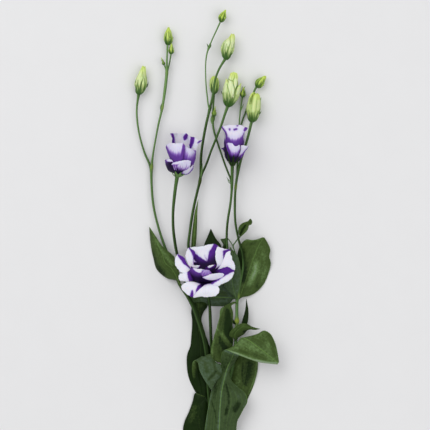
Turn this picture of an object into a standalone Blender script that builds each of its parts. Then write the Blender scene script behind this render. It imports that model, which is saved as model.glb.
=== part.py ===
"""Cut lisianthus spray: one branching flower stem lying on its back on a table.

The frame is metres, +Z up, +Y towards the buds, the cut end of the stem at -Y. The origin is
the middle of the spray's box, at the height of the table. All tables below are in millimetres.
"""

import math

import bmesh
import bpy
import numpy as np
from mathutils import Matrix, Vector

MM = 0.001
LEAF_THICKNESS = 0.6
PETAL_THICKNESS = 0.5
STEM_POINT_SPACING = 9.0
BUD_STEPS = 10
LEAF_GRID = (10, 4)
LONG_LEAF_GRID = (18, 4)
PETAL_GRID = (7, 6)
BASE_TRIM = 0.008
TIP_TRIM = 0.02
BASE_BEND = 15.0

# Shape of a petal: shares of its length and of its greatest half width.
PETAL_STEPS = 60
CLAW_SHARE = 0.16
CLAW_POWER = 1.3
WIDEST_AT = 0.66
TIP_LENGTH = 0.345
TIP_POWER = 2.6
TIP_BEND_FROM = 0.5
TWIST_RAMP = 4.0
LEAST_RADIUS = 2.0

# Routes of the stems: x, y, z and radius, from the older wood to the young end.
STEMS = {
    "main_stem": [
        (15, -235, 2.8, 2.8), (13, -215, 4, 2.8), (10, -195, 6, 2.7), (9.5, -182, 7, 2.6),
        (13, -165, 8, 2.1), (20, -145, 8.5, 1.9), (25, -125, 9, 1.8), (28.5, -100, 9, 1.7),
        (29.5, -75, 9, 1.7), (30.2, -52, 9.5, 1.6), (33.4, -36, 10.5, 1.3), (36.3, -19, 11, 1.3),
        (35.9, -9, 11, 1.3), (31.9, 5, 10.5, 1.3), (28.8, 22, 9.5, 1.3), (27.8, 42, 8.5, 1.3),
        (28.6, 57, 7, 1.3), (31, 71.5, 4.4, 1.3), (33.9, 84, 3.2, 1.2), (38.6, 100, 4, 1.2),
        (41.7, 110.5, 7.5, 1.2), (44, 121.2, 10, 1.2),
    ],
    "left_stem": [
        (5, -178, 7.5, 2.3), (3, -160, 8, 2.4), (1, -135, 8, 2.4), (0, -112, 8.5, 2.5),
        (-3.6, -91, 9, 2.5), (-8.6, -75, 9, 2.5), (-13.4, -62, 9, 2.4), (-19, -51, 9, 2.2),
        (-27, -39.5, 8.5, 1.7), (-34, -21, 7.5, 1.4), (-41.2, -3, 6.5, 1.3),
        (-48.8, 20, 5.5, 1.3), (-53.5, 38, 5, 1.25), (-55.4, 59, 4.5, 1.25),
        (-55, 89, 4.5, 1.25), (-52.4, 104, 4.8, 1.2), (-49.3, 120, 5, 1.2),
        (-45, 137, 5.5, 1.2), (-42, 161, 6, 1.1), (-40.7, 175, 6, 1.1), (-39.6, 199.4, 6, 1.1),
    ],
    "centre_stem": [
        (3.7, -107, 9, 1.4), (2.6, -92, 9, 1.4), (2.5, -76, 8.5, 1.3), (1.6, -56, 6.5, 1.3),
        (-4, -38, 4.2, 1.35), (-14, -18, 4.2, 1.4), (-18.6, -2, 5.5, 1.4), (-17.7, 12, 6.5, 1.4),
        (-15.8, 27, 7.5, 1.4), (-13.4, 39, 8, 1.4), (-10.5, 53, 8.5, 1.4), (-7, 65, 9, 1.4),
        (-5.7, 89, 9.5, 1.35), (-2, 116, 10.5, 1.35), (2.4, 135, 11.4, 1.3), (4.6, 146, 11.8, 1.3),
        (8.9, 168.5, 11.6, 1.2), (12.7, 177, 10.5, 1.2), (16.6, 184, 9.2, 1.2),
    ],
    "open_bloom_pedicel": [
        (4.8, -73, 10, 1.2), (3.4, -62, 11, 1.3), (1, -52, 12.6, 1.5), (-0.9, -46, 14.4, 1.7),
        (-2, -40.8, 18.2, 1.9),
    ],
    "left_bloom_stem": [
        (-21.4, -44, 11.4, 1.3), (-22.2, -36.5, 11.8, 1.4), (-25.4, -24, 12.6, 1.4),
        (-29.8, -8, 14, 1.4), (-32, 4, 15, 1.4),
        (-33.5, 17, 16, 1.4), (-34, 32, 17.5, 1.45), (-33, 47, 18.8, 1.6),
        (-31.4, 59, 19.6, 1.75), (-29.9, 66.8, 20, 1.9),
    ],
    "right_bloom_stem": [
        (28.2, -49.4, 11.1, 1.2), (23, -22, 10, 1.3), (20.4, -4, 9.5, 1.3), (19.6, 4, 9.5, 1.3),
        (19.6, 15, 10, 1.3), (20.6, 27, 11, 1.35), (23, 39, 12.4, 1.4), (24.8, 53, 14.4, 1.4),
        (24.9, 66, 17, 1.5), (25.2, 77.4, 18.9, 1.7),
    ],
    "bud_stem_top": [
        (-0.4, 133, 12, 0.9), (-1.6, 146, 11.5, 0.8), (-0.9, 157, 11, 0.75), (-1.4, 172, 10, 0.75),
        (-1.4, 180, 9.5, 0.75), (-0.3, 191.4, 9, 0.8), (4.3, 203, 8.5, 0.75),
        (8.9, 214, 8, 0.8), (12.6, 222.2, 8, 0.8),
    ],
    "bud_stem_green": [
        (23.2, 56, 13, 0.9), (22, 62, 11.8, 0.9), (20.9, 68, 10, 0.9), (18.6, 80, 7.5, 0.9),
        (15.6, 91, 6, 0.9),
        (10.3, 104, 5, 0.95), (6.5, 123.5, 4.6, 1), (5.8, 136, 4.6, 1), (6.9, 150.9, 4.8, 1),
    ],
    "bud_stem_pale": [
        (-4.1, 66.5, 9.4, 1), (-0.3, 80, 9.5, 1.1), (4.2, 94, 9.6, 1.2), (10.3, 110, 9.8, 1.25),
        (15, 121, 9.8, 1.25), (19.7, 137.6, 9.8, 1.4),
    ],
    "bud_stem_small": [
        (32.8, 117.5, 3.5, 0.8), (32.9, 129, 4, 0.8), (33.6, 138, 4, 0.8), (35.1, 147.3, 4, 0.8),
    ],
    "bud_stem_right": [
        (29.2, 68.5, 2.6, 0.9), (30, 80, 1.3, 0.9), (31.5, 98, 1.2, 0.9), (34.4, 119.5, 1.8, 0.9),
        (38.8, 135, 2.1, 0.9), (43.6, 146, 3.4, 0.9), (47, 153, 5, 0.9), (48.8, 157.4, 5.8, 0.9),
    ],
    "bud_stem_left": [
        (-58.2, 80, 4.3, 1.1), (-61.5, 90, 4.3, 1.1), (-66, 105, 4.6, 1.1), (-69.8, 125, 5, 1.1),
        (-70.2, 138, 5.4, 1.1), (-68.1, 150.4, 5.8, 1.2),
    ],
    "side_shoot": [
        (32.9, -28.6, 10.4, 0.6), (30, -20, 9.6, 0.6), (28.6, -12, 9, 0.6),
        (25.9, -1.5, 7.5, 0.65), (29.5, 3.6, 6.4, 0.65), (32.4, 8, 6.6, 0.8),
    ],
}

# Buds: base, tip, and the radius at the widest place.
BUDS = {
    "bud_top": ((12.7, 222.6, 8), (18.4, 234.9, 8), 3.5),
    "bud_tall": ((16.9, 184.8, 9.1), (25.4, 210.3, 8), 6.0),
    "bud_green": ((6.9, 151.4, 4.8), (7.6, 169, 4.8), 4.5),
    "bud_pale": ((19.9, 138.2, 9.8), (26.6, 172.6, 9.8), 9.0),
    "bud_small": ((35.2, 147.8, 4), (36.4, 158, 4), 2.8),
    "bud_right": ((49, 157.9, 5.9), (58.8, 168.6, 5.9), 4.3),
    "bud_yellow": ((44.2, 121.8, 10.2), (46.8, 151.8, 10), 7.0),
    "bud_left": ((-68, 150.9, 5.9), (-64.6, 178, 6.2), 5.7),
    "bud_upper_left": ((-39.6, 199.9, 6), (-38.6, 217.5, 6), 4.5),
}

# Radius and height of a bud's outer side, as shares of its greatest radius and its length.
BUD_PROFILE = [
    (0, 1), (0.14, 0.95), (0.36, 0.82), (0.66, 0.66), (0.9, 0.5), (1, 0.36), (0.92, 0.2),
    (0.62, 0.07), (0.3, 0), (0, 0),
]
OPENING_PROFILE = [
    (0, 1), (0.36, 0.99), (0.58, 0.93), (0.84, 0.76), (0.98, 0.58), (0.96, 0.4), (0.78, 0.22),
    (0.5, 0.07), (0.24, 0), (0, 0),
]
OPENING_BUDS = ("bud_pale", "bud_yellow")

# Leaves: left margin, midrib and right margin, each from the base to the tip.
LEAVES = {
    "leaf_left": (
        [(-27, -43, 10.6), (-32.4, -36.2, 9), (-39.4, -33.7, 5), (-45, -30, 2), (-50, -25, 0.8),
         (-54, -12, 1), (-56.8, 4, 3), (-57.6, 14, 5.6), (-57.9, 18.6, 7)],
        [(-26, -42.6, 10.8), (-31, -31, 14), (-35.4, -23.5, 14), (-41.5, -18, 12.4),
         (-44.6, -9, 11), (-49, 0.5, 10), (-53.5, 9.5, 8.6), (-57.9, 18.6, 7)],
        [(-25, -42, 10.9), (-28.4, -25, 17.6), (-32.8, -11.6, 18.5), (-39.4, -5.6, 15.4),
         (-45, -0.5, 13.2), (-49.5, 6, 11), (-53.4, 12, 8.8), (-57.9, 18.6, 7)],
    ),
    "leaf_right_large": (
        [(31.2, -54.4, 7.7), (29.6, -38, 4.6), (28.8, -22, 4.4), (30.4, -9, 5), (34.5, 1.5, 6.4),
         (39, 5.4, 7.4), (46, 5, 7.6), (52, 6.3, 7), (57, 8.2, 6)],
        [(31.7, -54.8, 7.8), (37, -41, 4.2), (42, -26, 4.6), (47, -12, 6), (51.5, -1, 6.6),
         (57, 8.2, 6)],
        [(32.4, -55, 7.9), (42, -51.2, 2.6), (51, -46, 0.8), (57, -39, 0.6), (61.4, -29, 1.6),
         (63.8, -17, 3), (62.4, -12, 4), (63.4, -5, 4.6), (60.6, 2.4, 5.4), (57, 8.2, 6)],
    ),
    "leaf_behind_bloom": (
        [(28.9, -52.4, 7.5), (15, -44, 3.6), (0, -40.5, 1.2), (-9, -42.5, 1), (-14.6, -50, 1.2)],
        [(29.1, -53.4, 7.5), (14, -52.4, 4), (0, -51.6, 2.6), (-8, -51, 1.8), (-14.6, -50, 1.2)],
        [(28.9, -54.4, 7.3), (21, -60, 3), (8, -61.3, 1), (-3, -60, 0.8), (-10.5, -56.5, 1),
         (-14.6, -50, 1.2)],
    ),
    "leaf_dark_tip": (
        [(-1.4, -45, 7), (-1, -36, 8), (-2.6, -12, 8), (-3, -0.6, 7.4), (0.8, 9, 7),
         (3.8, 16.7, 6.6)],
        [(-0.6, -45.6, 7), (2.6, -36, 9), (5.4, -12, 9), (6, 0, 8), (5, 9, 7.2), (3.8, 16.7, 6.6)],
        [(0.2, -45.4, 6.8), (6.4, -36, 8.8), (13, -12, 8.6), (14.3, -1.3, 7.8), (8.4, 7.4, 7),
         (3.8, 16.7, 6.6)],
    ),
    "leaf_narrow": (
        [(-15.9, -12.8, 6.9), (-15.8, -5, 7.8), (-15.4, 6, 8.2), (-14, 20, 9.4),
         (-12.2, 33, 10.4), (-8.6, 46.6, 11)],
        [(-15.2, -13.2, 7), (-13.8, -5, 8.4), (-13.2, 6, 9), (-12, 20, 10), (-10.9, 33, 10.6),
         (-8.6, 46.6, 11)],
        [(-14.5, -12.8, 6.8), (-12, -5, 8), (-11, 2, 8.4), (-9.9, 20, 9.6), (-9.6, 33, 10.4),
         (-8.6, 46.6, 11)],
    ),
    "leaf_bluish": (
        [(28.9, -54.4, 11.6), (19, -40, 14), (16, -24, 14), (18, -12, 14), (23, -3.4, 14)],
        [(29.8, -54.6, 11.8), (25.4, -36, 15.4), (24, -22, 15.8), (23.6, -12, 15),
         (23, -3.4, 14)],
        [(30.7, -54.2, 11.7), (33, -38, 14.8), (32, -24, 15), (28, -12, 14.6), (23, -3.4, 14)],
    ),
    "leaf_lower_left": (
        [(2, -160, 5), (0, -152, 2.6), (-13.5, -142, 0.8), (-18.6, -128, 0.8), (-20.2, -115, 1),
         (-17.4, -103, 1.2), (-15.2, -88, 1.4), (-14.6, -76, 1.6), (-16, -62, 2.4)],
        [(2.9, -160.4, 5), (1, -152, 2.8), (-6.4, -130, 2.6), (-6.6, -109, 3.2), (-7.4, -92, 3.4),
         (-10, -80, 3.4), (-16, -62, 2.4)],
        [(3.8, -160, 5), (2.4, -152, 2.8), (1.4, -130, 2), (1.2, -105, 2.2), (-2.4, -90, 2.4),
         (-6, -80, 2.4), (-4.6, -69, 2), (-9, -63, 2), (-16, -62, 2.4)],
    ),
    "leaf_hooded": (
        [(-0.6, -155.2, 5.8), (-10, -144, 4.6), (-13.6, -135, 5), (-15, -124, 7.4),
         (-13.6, -116.6, 11.4), (-10.6, -119, 15.6), (-8, -127, 17.6), (-4, -136, 18.2),
         (0.6, -142, 18), (4.6, -146, 17.4)],
        [(0, -155.6, 5.8), (-6, -138, 4.6), (-8.2, -126, 6.4), (-7.8, -114, 11),
         (-4.6, -111.6, 16), (-0.6, -118, 19), (2.6, -130, 19.4), (4.6, -146, 17.4)],
        [(0.7, -155.4, 5.4), (1.4, -140, 4.2), (-1.6, -129, 4.4), (-4.2, -120, 8),
         (-3.4, -112.4, 13),
         (3.4, -109.8, 15.8), (10, -112.6, 16.2), (13.4, -120, 16), (12.2, -131, 16.8),
         (4.6, -146, 17.4)],
    ),
    "leaf_middle": (
        [(29, -57.4, 11.5), (20, -59.6, 14.6), (13.6, -64, 15), (12.4, -72, 14.6),
         (10, -81, 14), (7.4, -90, 13.4), (5, -99, 13.2), (3.8, -106, 13.4), (4.4, -113.4, 14),
         (9.6, -116.6, 14.2), (18.4, -118.6, 14)],
        [(29.4, -58.2, 11.4), (21, -64, 13.6), (18, -75, 13), (15.4, -88, 12.6),
         (13.8, -101, 12.6), (15, -112, 13.2), (18.4, -118.6, 14)],
        [(29.7, -59, 11.3), (24.4, -60.6, 12.6), (25.8, -66, 12.8), (25.6, -80, 12.8),
         (26.2, -92, 12.8), (24.6, -106, 13), (18.4, -118.6, 14)],
    ),
    "leaf_long_arching": (
        [(11.1, -212.6, 7), (0.4, -198, 12), (-2.2, -188, 13), (-0.9, -175, 14), (1.6, -160, 14.6),
         (4.4, -146, 13), (9.8, -135.6, 14.6), (14.6, -128, 16), (14.4, -121, 17.4),
         (13.6, -114, 19.6), (17.6, -104.6, 23.6), (25.4, -107.4, 27.4), (32.5, -110, 28.2),
         (42, -113.6, 27.4), (52, -116.8, 25), (62, -118.4, 21.6), (71.4, -118.4, 17.6)],
        [(12.9, -213.6, 7.4), (11.4, -195, 15), (12.5, -178, 17.6), (13, -164, 18.8),
         (14.4, -148, 19.6), (17, -135, 20.4), (20.4, -122, 21), (25.6, -111, 21.6),
         (30.4, -98.6, 23), (34.6, -92.6, 26), (41.4, -94.8, 28.6), (48.8, -100.2, 28),
         (56.8, -106.2, 25), (65, -112.8, 21.6), (71.4, -118.4, 17.6)],
        [(14.7, -212.6, 7), (22, -200, 11.6), (28.8, -188, 12.4), (30.4, -176, 13.4),
         (36, -165, 13.6), (40.4, -156, 13.4), (38, -147.6, 13.4), (31, -142, 14),
         (24.4, -135, 15.4), (22.6, -127, 16.6), (28, -117, 17), (34.6, -105, 18),
         (40, -94.6, 20.6), (44.6, -90.6, 23.6), (51, -88.2, 25), (56.8, -85.2, 24),
         (62, -87.4, 22.4),
         (67.4, -96, 20.4), (70.4, -107, 18.4), (71.4, -118.4, 17.6)],
    ),
    "leaf_curled": (
        [(27.8, -94.4, 11.4), (25.4, -92.2, 14.9), (22.6, -90.8, 15.9), (23, -87, 17.6),
         (28.4, -81.4, 20),
         (33.6, -78.4, 20.6), (39.6, -78.6, 19.8), (45, -81.4, 18.4), (53.4, -83.8, 17)],
        [(28.6, -95, 11.2), (28, -88.4, 15.8), (31.6, -84, 18.4), (36.4, -81.4, 19.4),
         (41, -81.8, 18.6), (46, -83.4, 17.6), (53.4, -83.8, 17)],
        [(29.6, -94.6, 11.1), (33.4, -91.4, 12.8), (37.4, -88.8, 13.8), (40, -85.6, 15.4),
         (43, -84.4, 16.4), (47.4, -84.8, 16.6), (53.4, -83.8, 17)],
    ),
    "leaf_spike": (
        [(31, -89.6, 8.1), (35, -77, 6.8), (38, -66, 7.4), (39.4, -53.5, 7.6)],
        [(31.3, -90.4, 8.1), (38, -77, 7.4), (39.4, -66, 8), (39.4, -53.5, 7.6)],
        [(31.8, -91, 7.9), (40.6, -79, 6.6), (41.4, -65, 7.4), (39.4, -53.5, 7.6)],
    ),
    "leaf_lower_right": (
        [(12.9, -195.4, 5.3), (19.4, -172, 2.6), (21, -150, 2.4), (24.4, -132, 3),
         (29.6, -114, 3.4),
         (36, -104, 3.4), (43, -97, 3)],
        [(13.1, -196.6, 5.1), (27, -172, 3), (34, -152, 3.6), (38.4, -132, 4.4),
         (41.6, -113, 4.4), (43, -97, 3)],
        [(13.6, -197.6, 4.9), (31.5, -174, 1.4), (40.6, -155, 0.8), (47.6, -138, 1),
         (51, -122, 1.4), (49.6, -108, 2), (43, -97, 3)],
    ),
    "leaf_lower_back": (
        [(9.3, -216.6, 4.4), (-6, -207, 1.6), (-17, -197, 0.8), (-23.4, -184, 0.8),
         (-22.4, -175, 1.4), (-18, -163, 2.2), (-11.4, -149.4, 3), (-6.4, -149.4, 3.4),
         (-1.4, -152, 3.8)],
        [(9.8, -217.6, 4.6), (0, -202, 3.6), (-5.6, -188, 3.6), (-8.4, -174, 4),
         (-7.4, -162, 4.4), (-1.4, -152, 3.8)],
        [(10.1, -218.6, 4.4), (7, -203, 2.4), (6, -188, 3), (3.4, -174, 3.6), (1, -162, 3.6),
         (-1.4, -152, 3.8)],
    ),
    "leaf_young": (
        [(32, 9, 7), (33, 13, 9.6), (36, 18, 11.4), (40, 22, 12), (43.8, 25.6, 11.6)],
        [(32.6, 8.8, 6.8), (37.4, 13, 7.6), (40.6, 16.6, 8.4), (42.8, 20.6, 9.6),
         (43.8, 25.6, 11.6)],
        [(33.1, 8.6, 6.8), (39.6, 9.6, 9), (43.6, 13, 10), (45, 18.6, 10.6), (43.8, 25.6, 11.6)],
    ),
}

# How far each half of a leaf bows up between the midrib and the margin, and the half width from
# which it bows that far.
LEAF_CROWN = 0.9
FULL_CROWN_WIDTH = 10.0

# Blooms: base of the petals, direction of the axis as lean to +X and rise to +Z in degrees.
BLOOMS = {
    "open_bloom": ((-2, -38, 21), 0, 45),
    "left_bloom": ((-29.4, 70.6, 20.4), 7, 6),
    "right_bloom": ((25.4, 81.2, 19.2), 2, 4),
}

# Petals: azimuth, length, half width, start radius, start height, the angles to the axis at
# the base, the middle and the tip, how far they wrap round the axis, and the overlap twist.
PETALS = {
    "open_bloom": [
        (20, 33, 13.5, 4.4, 0, 30, 66, 76, 0.45, 1.0),
        (90, 38, 14.5, 3.4, 1.6, 30, 58, 62, 0.45, 0),
        (160, 33, 13.5, 4.2, 0, 30, 66, 76, 0.45, -0.8),
        (222, 32, 11.5, 4.2, 0, 30, 80, 100, 0.45, -0.8),
        (274, 31, 11, 3.4, 1.8, 30, 74, 98, 0.45, 0),
        (331, 33, 10.5, 4.8, -0.3, 30, 74, 90, 0.45, 0.8),
        (56, 36, 9.5, 2.8, 4, 16, 45, 47, 0.6, -0.7),
        (123, 35, 9.5, 2.8, 4, 16, 49, 51, 0.6, -0.8),
    ],
    "left_bloom": [
        (236, 41, 19.5, 3.2, 2.4, 86, 10, 22, 1, 0.8),
        (356, 41, 19.5, 3.2, 2.4, 86, 10, 22, 1, 0.8),
        (116, 41, 19.5, 3.2, 2.4, 86, 10, 22, 1, 0.8),
        (200, 21, 11, 5.8, -0.2, 86, 14, 100, 1, 0.8),
        (270, 21, 11, 5.8, -0.2, 86, 14, 100, 1, 0.8),
        (340, 21, 11, 5.8, -0.2, 86, 14, 100, 1, 0.8),
    ],
    "right_bloom": [
        (250, 40, 15, 2.8, 2.2, 72, 8, 18, 1, 0.7),
        (10, 40, 15, 2.8, 2.2, 72, 8, 18, 1, 0.7),
        (130, 40, 15, 2.8, 2.2, 72, 8, 18, 1, 0.7),
        (215, 25, 10, 5.2, 0, 72, 16, 52, 1, 0.5),
        (315, 25, 10, 5.2, 0, 72, 16, 52, 1, 0.5),
    ],
}

# Calyx cups under the blooms, with the receptacle that the petals stand round: radius and
# height of the outer side, from the top down.
CALYX_PROFILE = [
    (0, 5.2), (1.5, 5), (2.2, 4.2), (2.8, 2.4), (2.9, 0.9), (3.8, 0), (5.2, -0.6), (5, -1.4),
    (3.8, -2.4), (2.4, -3.2), (0, -3.2),
]

COLOURS = {
    "stem": (0.07, 0.16, 0.05),
    "leaf": (0.04, 0.10, 0.025),
    "bud": (0.42, 0.55, 0.13),
    "petal": (0.55, 0.45, 0.75),
    "calyx": (0.12, 0.22, 0.05),
}
ROUGHNESS = {"stem": 0.55, "leaf": 0.4, "bud": 0.5, "petal": 0.6, "calyx": 0.55}


def clear_scene():
    for item in list(bpy.data.objects):
        bpy.data.objects.remove(item, do_unlink=True)


def new_collection(name):
    made = bpy.data.collections.new(name)
    bpy.context.scene.collection.children.link(made)
    return made


def new_material(kind):
    made = bpy.data.materials.new(kind)
    made.use_nodes = True
    shader = made.node_tree.nodes["Principled BSDF"]
    shader.inputs["Base Color"].default_value = (*COLOURS[kind], 1)
    shader.inputs["Roughness"].default_value = ROUGHNESS[kind]
    shader.inputs["Metallic"].default_value = 0
    return made


def curve_at(points, shares):
    """Points of the smooth curve through the given points, at shares of its chord length."""
    points = np.asarray(points, float)
    steps = np.linalg.norm(np.diff(points[:, :3], axis=0), axis=1)
    knots = np.concatenate([[0], np.cumsum(steps)]) / steps.sum()
    slopes = np.gradient(points, knots, axis=0)
    shares = np.clip(np.asarray(shares, float), 0, 1)
    left = np.clip(np.searchsorted(knots, shares, "right") - 1, 0, len(knots) - 2)
    span = (knots[left + 1] - knots[left])[:, None]
    t = (shares - knots[left])[:, None] / span
    value_a = (1 + 2 * t) * (1 - t) ** 2 * points[left]
    value_b = t**2 * (3 - 2 * t) * points[left + 1]
    slope_a = t * (1 - t) ** 2 * span * slopes[left]
    slope_b = t**2 * (t - 1) * span * slopes[left + 1]
    return value_a + value_b + slope_a + slope_b


def add_object(name, data, material, collection):
    data.materials.append(material)
    made = bpy.data.objects.new(name, data)
    collection.objects.link(made)
    return made


def stem(name, route, material, collection):
    """A tapering round stem along its route."""
    length = np.linalg.norm(np.diff(np.array(route)[:, :3], axis=0), axis=1).sum()
    count = max(4, round(length / STEM_POINT_SPACING) + 1)
    points = curve_at(route, np.linspace(0, 1, count))
    curve = bpy.data.curves.new(name, "CURVE")
    curve.dimensions = "3D"
    curve.bevel_depth = MM
    curve.bevel_resolution = 2
    curve.use_fill_caps = True
    spline = curve.splines.new("POLY")
    spline.points.add(count - 1)
    for spline_point, (x, y, z, radius) in zip(spline.points, points):
        spline_point.co = (x * MM, y * MM, z * MM, 1)
        spline_point.radius = radius
    spline.use_smooth = True
    return add_object(name, curve, material, collection)


def turned(name, profile, steps, material, collection):
    """A solid turned about its own Z axis from a profile that runs down its outer side."""
    mesh = bpy.data.meshes.new(name)
    shape = bmesh.new()
    corners = [shape.verts.new((radius * MM, 0, height * MM)) for radius, height in profile]
    for upper, lower in zip(corners, corners[1:]):
        shape.edges.new((upper, lower))
    shape.to_mesh(mesh)
    shape.free()
    made = add_object(name, mesh, material, collection)
    screw = made.modifiers.new("Turn", "SCREW")
    screw.steps = steps
    screw.render_steps = steps
    screw.use_merge_vertices = True
    screw.merge_threshold = 0.00001
    screw.use_smooth_shade = True
    return made


def bud(name, base, tip, radius, material, collection):
    """A closed bud, standing on its base and pointing to its tip."""
    along = Vector(tip) - Vector(base)
    shares = OPENING_PROFILE if name in OPENING_BUDS else BUD_PROFILE
    profile = [(share * radius, height * along.length) for share, height in shares]
    made = turned(name, profile, BUD_STEPS, material, collection)
    made.location = Vector(base) * MM
    made.rotation_euler = along.to_track_quat("Z", "Y").to_euler()
    return made


def shell(name, surface, grid, thickness, material, collection):
    """A thin sheet: a grid laid on surface(along, across), thickened to both sides."""
    along_count, across_count = grid
    shape = bmesh.new()
    bmesh.ops.create_grid(shape, x_segments=across_count, y_segments=along_count, size=1)
    shape.verts.ensure_lookup_table()
    places = np.array([vert.co for vert in shape.verts])
    along = BASE_TRIM + (1 - BASE_TRIM - TIP_TRIM) * (places[:, 1] + 1) / 2
    for vert, place in zip(shape.verts, surface(along, places[:, 0]) * MM):
        vert.co = place
    mesh = bpy.data.meshes.new(name)
    shape.to_mesh(mesh)
    shape.free()
    mesh.shade_smooth()
    made = add_object(name, mesh, material, collection)
    solidify = made.modifiers.new("Thickness", "SOLIDIFY")
    solidify.thickness = thickness * MM
    solidify.offset = 0
    return made


def leaf_surface(margins):
    """The blade between a left margin, a midrib and a right margin, each half bowed a little."""
    left, middle, right = margins

    def surface(along, across):
        rib = curve_at(middle, along)
        edge = np.where(across[:, None] < 0, curve_at(left, along), curve_at(right, along))
        share = np.abs(across)[:, None]
        place = rib * (1 - share) + edge * share
        width = np.linalg.norm(edge - rib, axis=1)
        bow = LEAF_CROWN * np.clip(width / FULL_CROWN_WIDTH, 0, 1)
        place[:, 2] += bow * 4 * (share * (1 - share))[:, 0]
        return place

    return surface


def bloom_frame(base, lean, rise):
    """The frame of a bloom: Z along its axis, X to the right, Y away from the open side."""
    axis = Vector((math.sin(math.radians(lean)), math.cos(math.radians(lean)), 0))
    axis = axis * math.cos(math.radians(rise)) + Vector((0, 0, math.sin(math.radians(rise))))
    right = Vector((axis.y, -axis.x, 0)).normalized()
    back = axis.cross(right)
    turn = Matrix((right, back, axis)).transposed()
    return Matrix.Translation(Vector(base) * MM) @ turn.to_4x4()


def petal_width(along):
    """Share of the greatest half width: a narrow claw, widest at two thirds, a round tip."""
    rise = np.sin(np.clip(along / WIDEST_AT, 0, 1) * math.pi / 2) ** CLAW_POWER
    past = np.clip(along - WIDEST_AT, 0, 1) / TIP_LENGTH
    tip = np.sqrt(np.clip(1 - past**TIP_POWER, 0, 1))
    return (CLAW_SHARE + (1 - CLAW_SHARE) * rise) * tip


def petal_surface(azimuth, length, half_width, radius, height, angles, wrap, twist):
    """A petal in its bloom's frame, rising along a bent profile and curved round the axis."""
    steps = np.linspace(0, 1, PETAL_STEPS + 1)
    low = np.clip(1 - steps * length / BASE_BEND, 0, 1) ** 2
    high = np.clip((steps - TIP_BEND_FROM) / (1 - TIP_BEND_FROM), 0, 1) ** 2
    base, middle, tip = angles
    slope = np.radians(middle + (base - middle) * low + (tip - middle) * high)
    step = length / PETAL_STEPS
    radii = radius + step * np.concatenate([[0], np.cumsum(np.sin(slope[1:]))])
    heights = height + step * np.concatenate([[0], np.cumsum(np.cos(slope[1:]))])

    def surface(along, across):
        out = np.interp(along, steps, radii)
        up = np.interp(along, steps, heights)
        angle = np.interp(along, steps, slope)
        bend = wrap / np.maximum(out, LEAST_RADIUS)
        turn = across * half_width * petal_width(along) * bend
        lift = twist * across * np.clip(along * TWIST_RAMP, 0, 1)
        side = np.sin(turn) * (1 / bend + lift)
        inward = (1 - np.cos(turn)) / bend - lift * np.cos(turn)
        out = out - inward * np.cos(angle)
        up = up + inward * np.sin(angle)
        facing = math.radians(azimuth)
        x = out * math.cos(facing) - side * math.sin(facing)
        y = out * math.sin(facing) + side * math.cos(facing)
        return np.stack([x, y, up], axis=1)

    return surface


def bloom(name, material_petal, material_calyx, collection):
    """The petals and the calyx cup of one bloom."""
    frame = bloom_frame(*BLOOMS[name])
    for number, values in enumerate(PETALS[name], 1):
        azimuth, length, half_width, radius, height = values[:5]
        angles = values[5:8]
        wrap, twist = values[8:]
        surface = petal_surface(azimuth, length, half_width, radius, height, angles, wrap, twist)
        label = f"{name}_petal_{number}"
        made = shell(label, surface, PETAL_GRID, PETAL_THICKNESS, material_petal, collection)
        made.matrix_world = frame
    calyx = turned(f"{name}_calyx", CALYX_PROFILE, BUD_STEPS, material_calyx, collection)
    calyx.matrix_world = frame


def main():
    clear_scene()
    collection = new_collection("lisianthus_spray")
    materials = {kind: new_material(kind) for kind in COLOURS}
    for name, route in STEMS.items():
        stem(name, route, materials["stem"], collection)
    for name, (base, tip, radius) in BUDS.items():
        bud(name, base, tip, radius, materials["bud"], collection)
    for name, margins in LEAVES.items():
        grid = LONG_LEAF_GRID if name == "leaf_long_arching" else LEAF_GRID
        shell(name, leaf_surface(margins), grid, LEAF_THICKNESS, materials["leaf"], collection)
    for name in BLOOMS:
        bloom(name, materials["petal"], materials["calyx"], collection)


main()
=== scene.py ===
"""Cut lisianthus spray lying on a pale table: every stem, leaf, bud and petal as a fine surface.

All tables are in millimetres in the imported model's frame: +Y towards the buds, +Z up from the
table. A blade or petal is given by its left margin, its middle line and its right margin, each
from the base to the tip, as seen with the tip up and the face named in the table towards you.
"""

import math

import bpy
import numpy as np
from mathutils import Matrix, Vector


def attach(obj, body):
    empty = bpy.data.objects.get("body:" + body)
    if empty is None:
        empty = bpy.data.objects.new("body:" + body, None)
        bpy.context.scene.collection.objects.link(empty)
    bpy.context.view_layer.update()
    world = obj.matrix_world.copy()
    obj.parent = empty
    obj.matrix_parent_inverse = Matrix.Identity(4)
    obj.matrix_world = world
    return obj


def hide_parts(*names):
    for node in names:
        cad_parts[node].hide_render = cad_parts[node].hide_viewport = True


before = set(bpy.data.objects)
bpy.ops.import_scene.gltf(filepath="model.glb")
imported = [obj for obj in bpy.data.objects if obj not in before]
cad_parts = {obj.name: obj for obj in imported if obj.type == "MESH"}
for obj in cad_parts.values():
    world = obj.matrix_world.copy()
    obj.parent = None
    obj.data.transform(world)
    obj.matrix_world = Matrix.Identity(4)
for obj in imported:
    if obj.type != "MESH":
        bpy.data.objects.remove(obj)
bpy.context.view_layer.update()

MM = 0.001
BODY = "root"

# ---------------------------------------------------------------- curves and closed bodies


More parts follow.
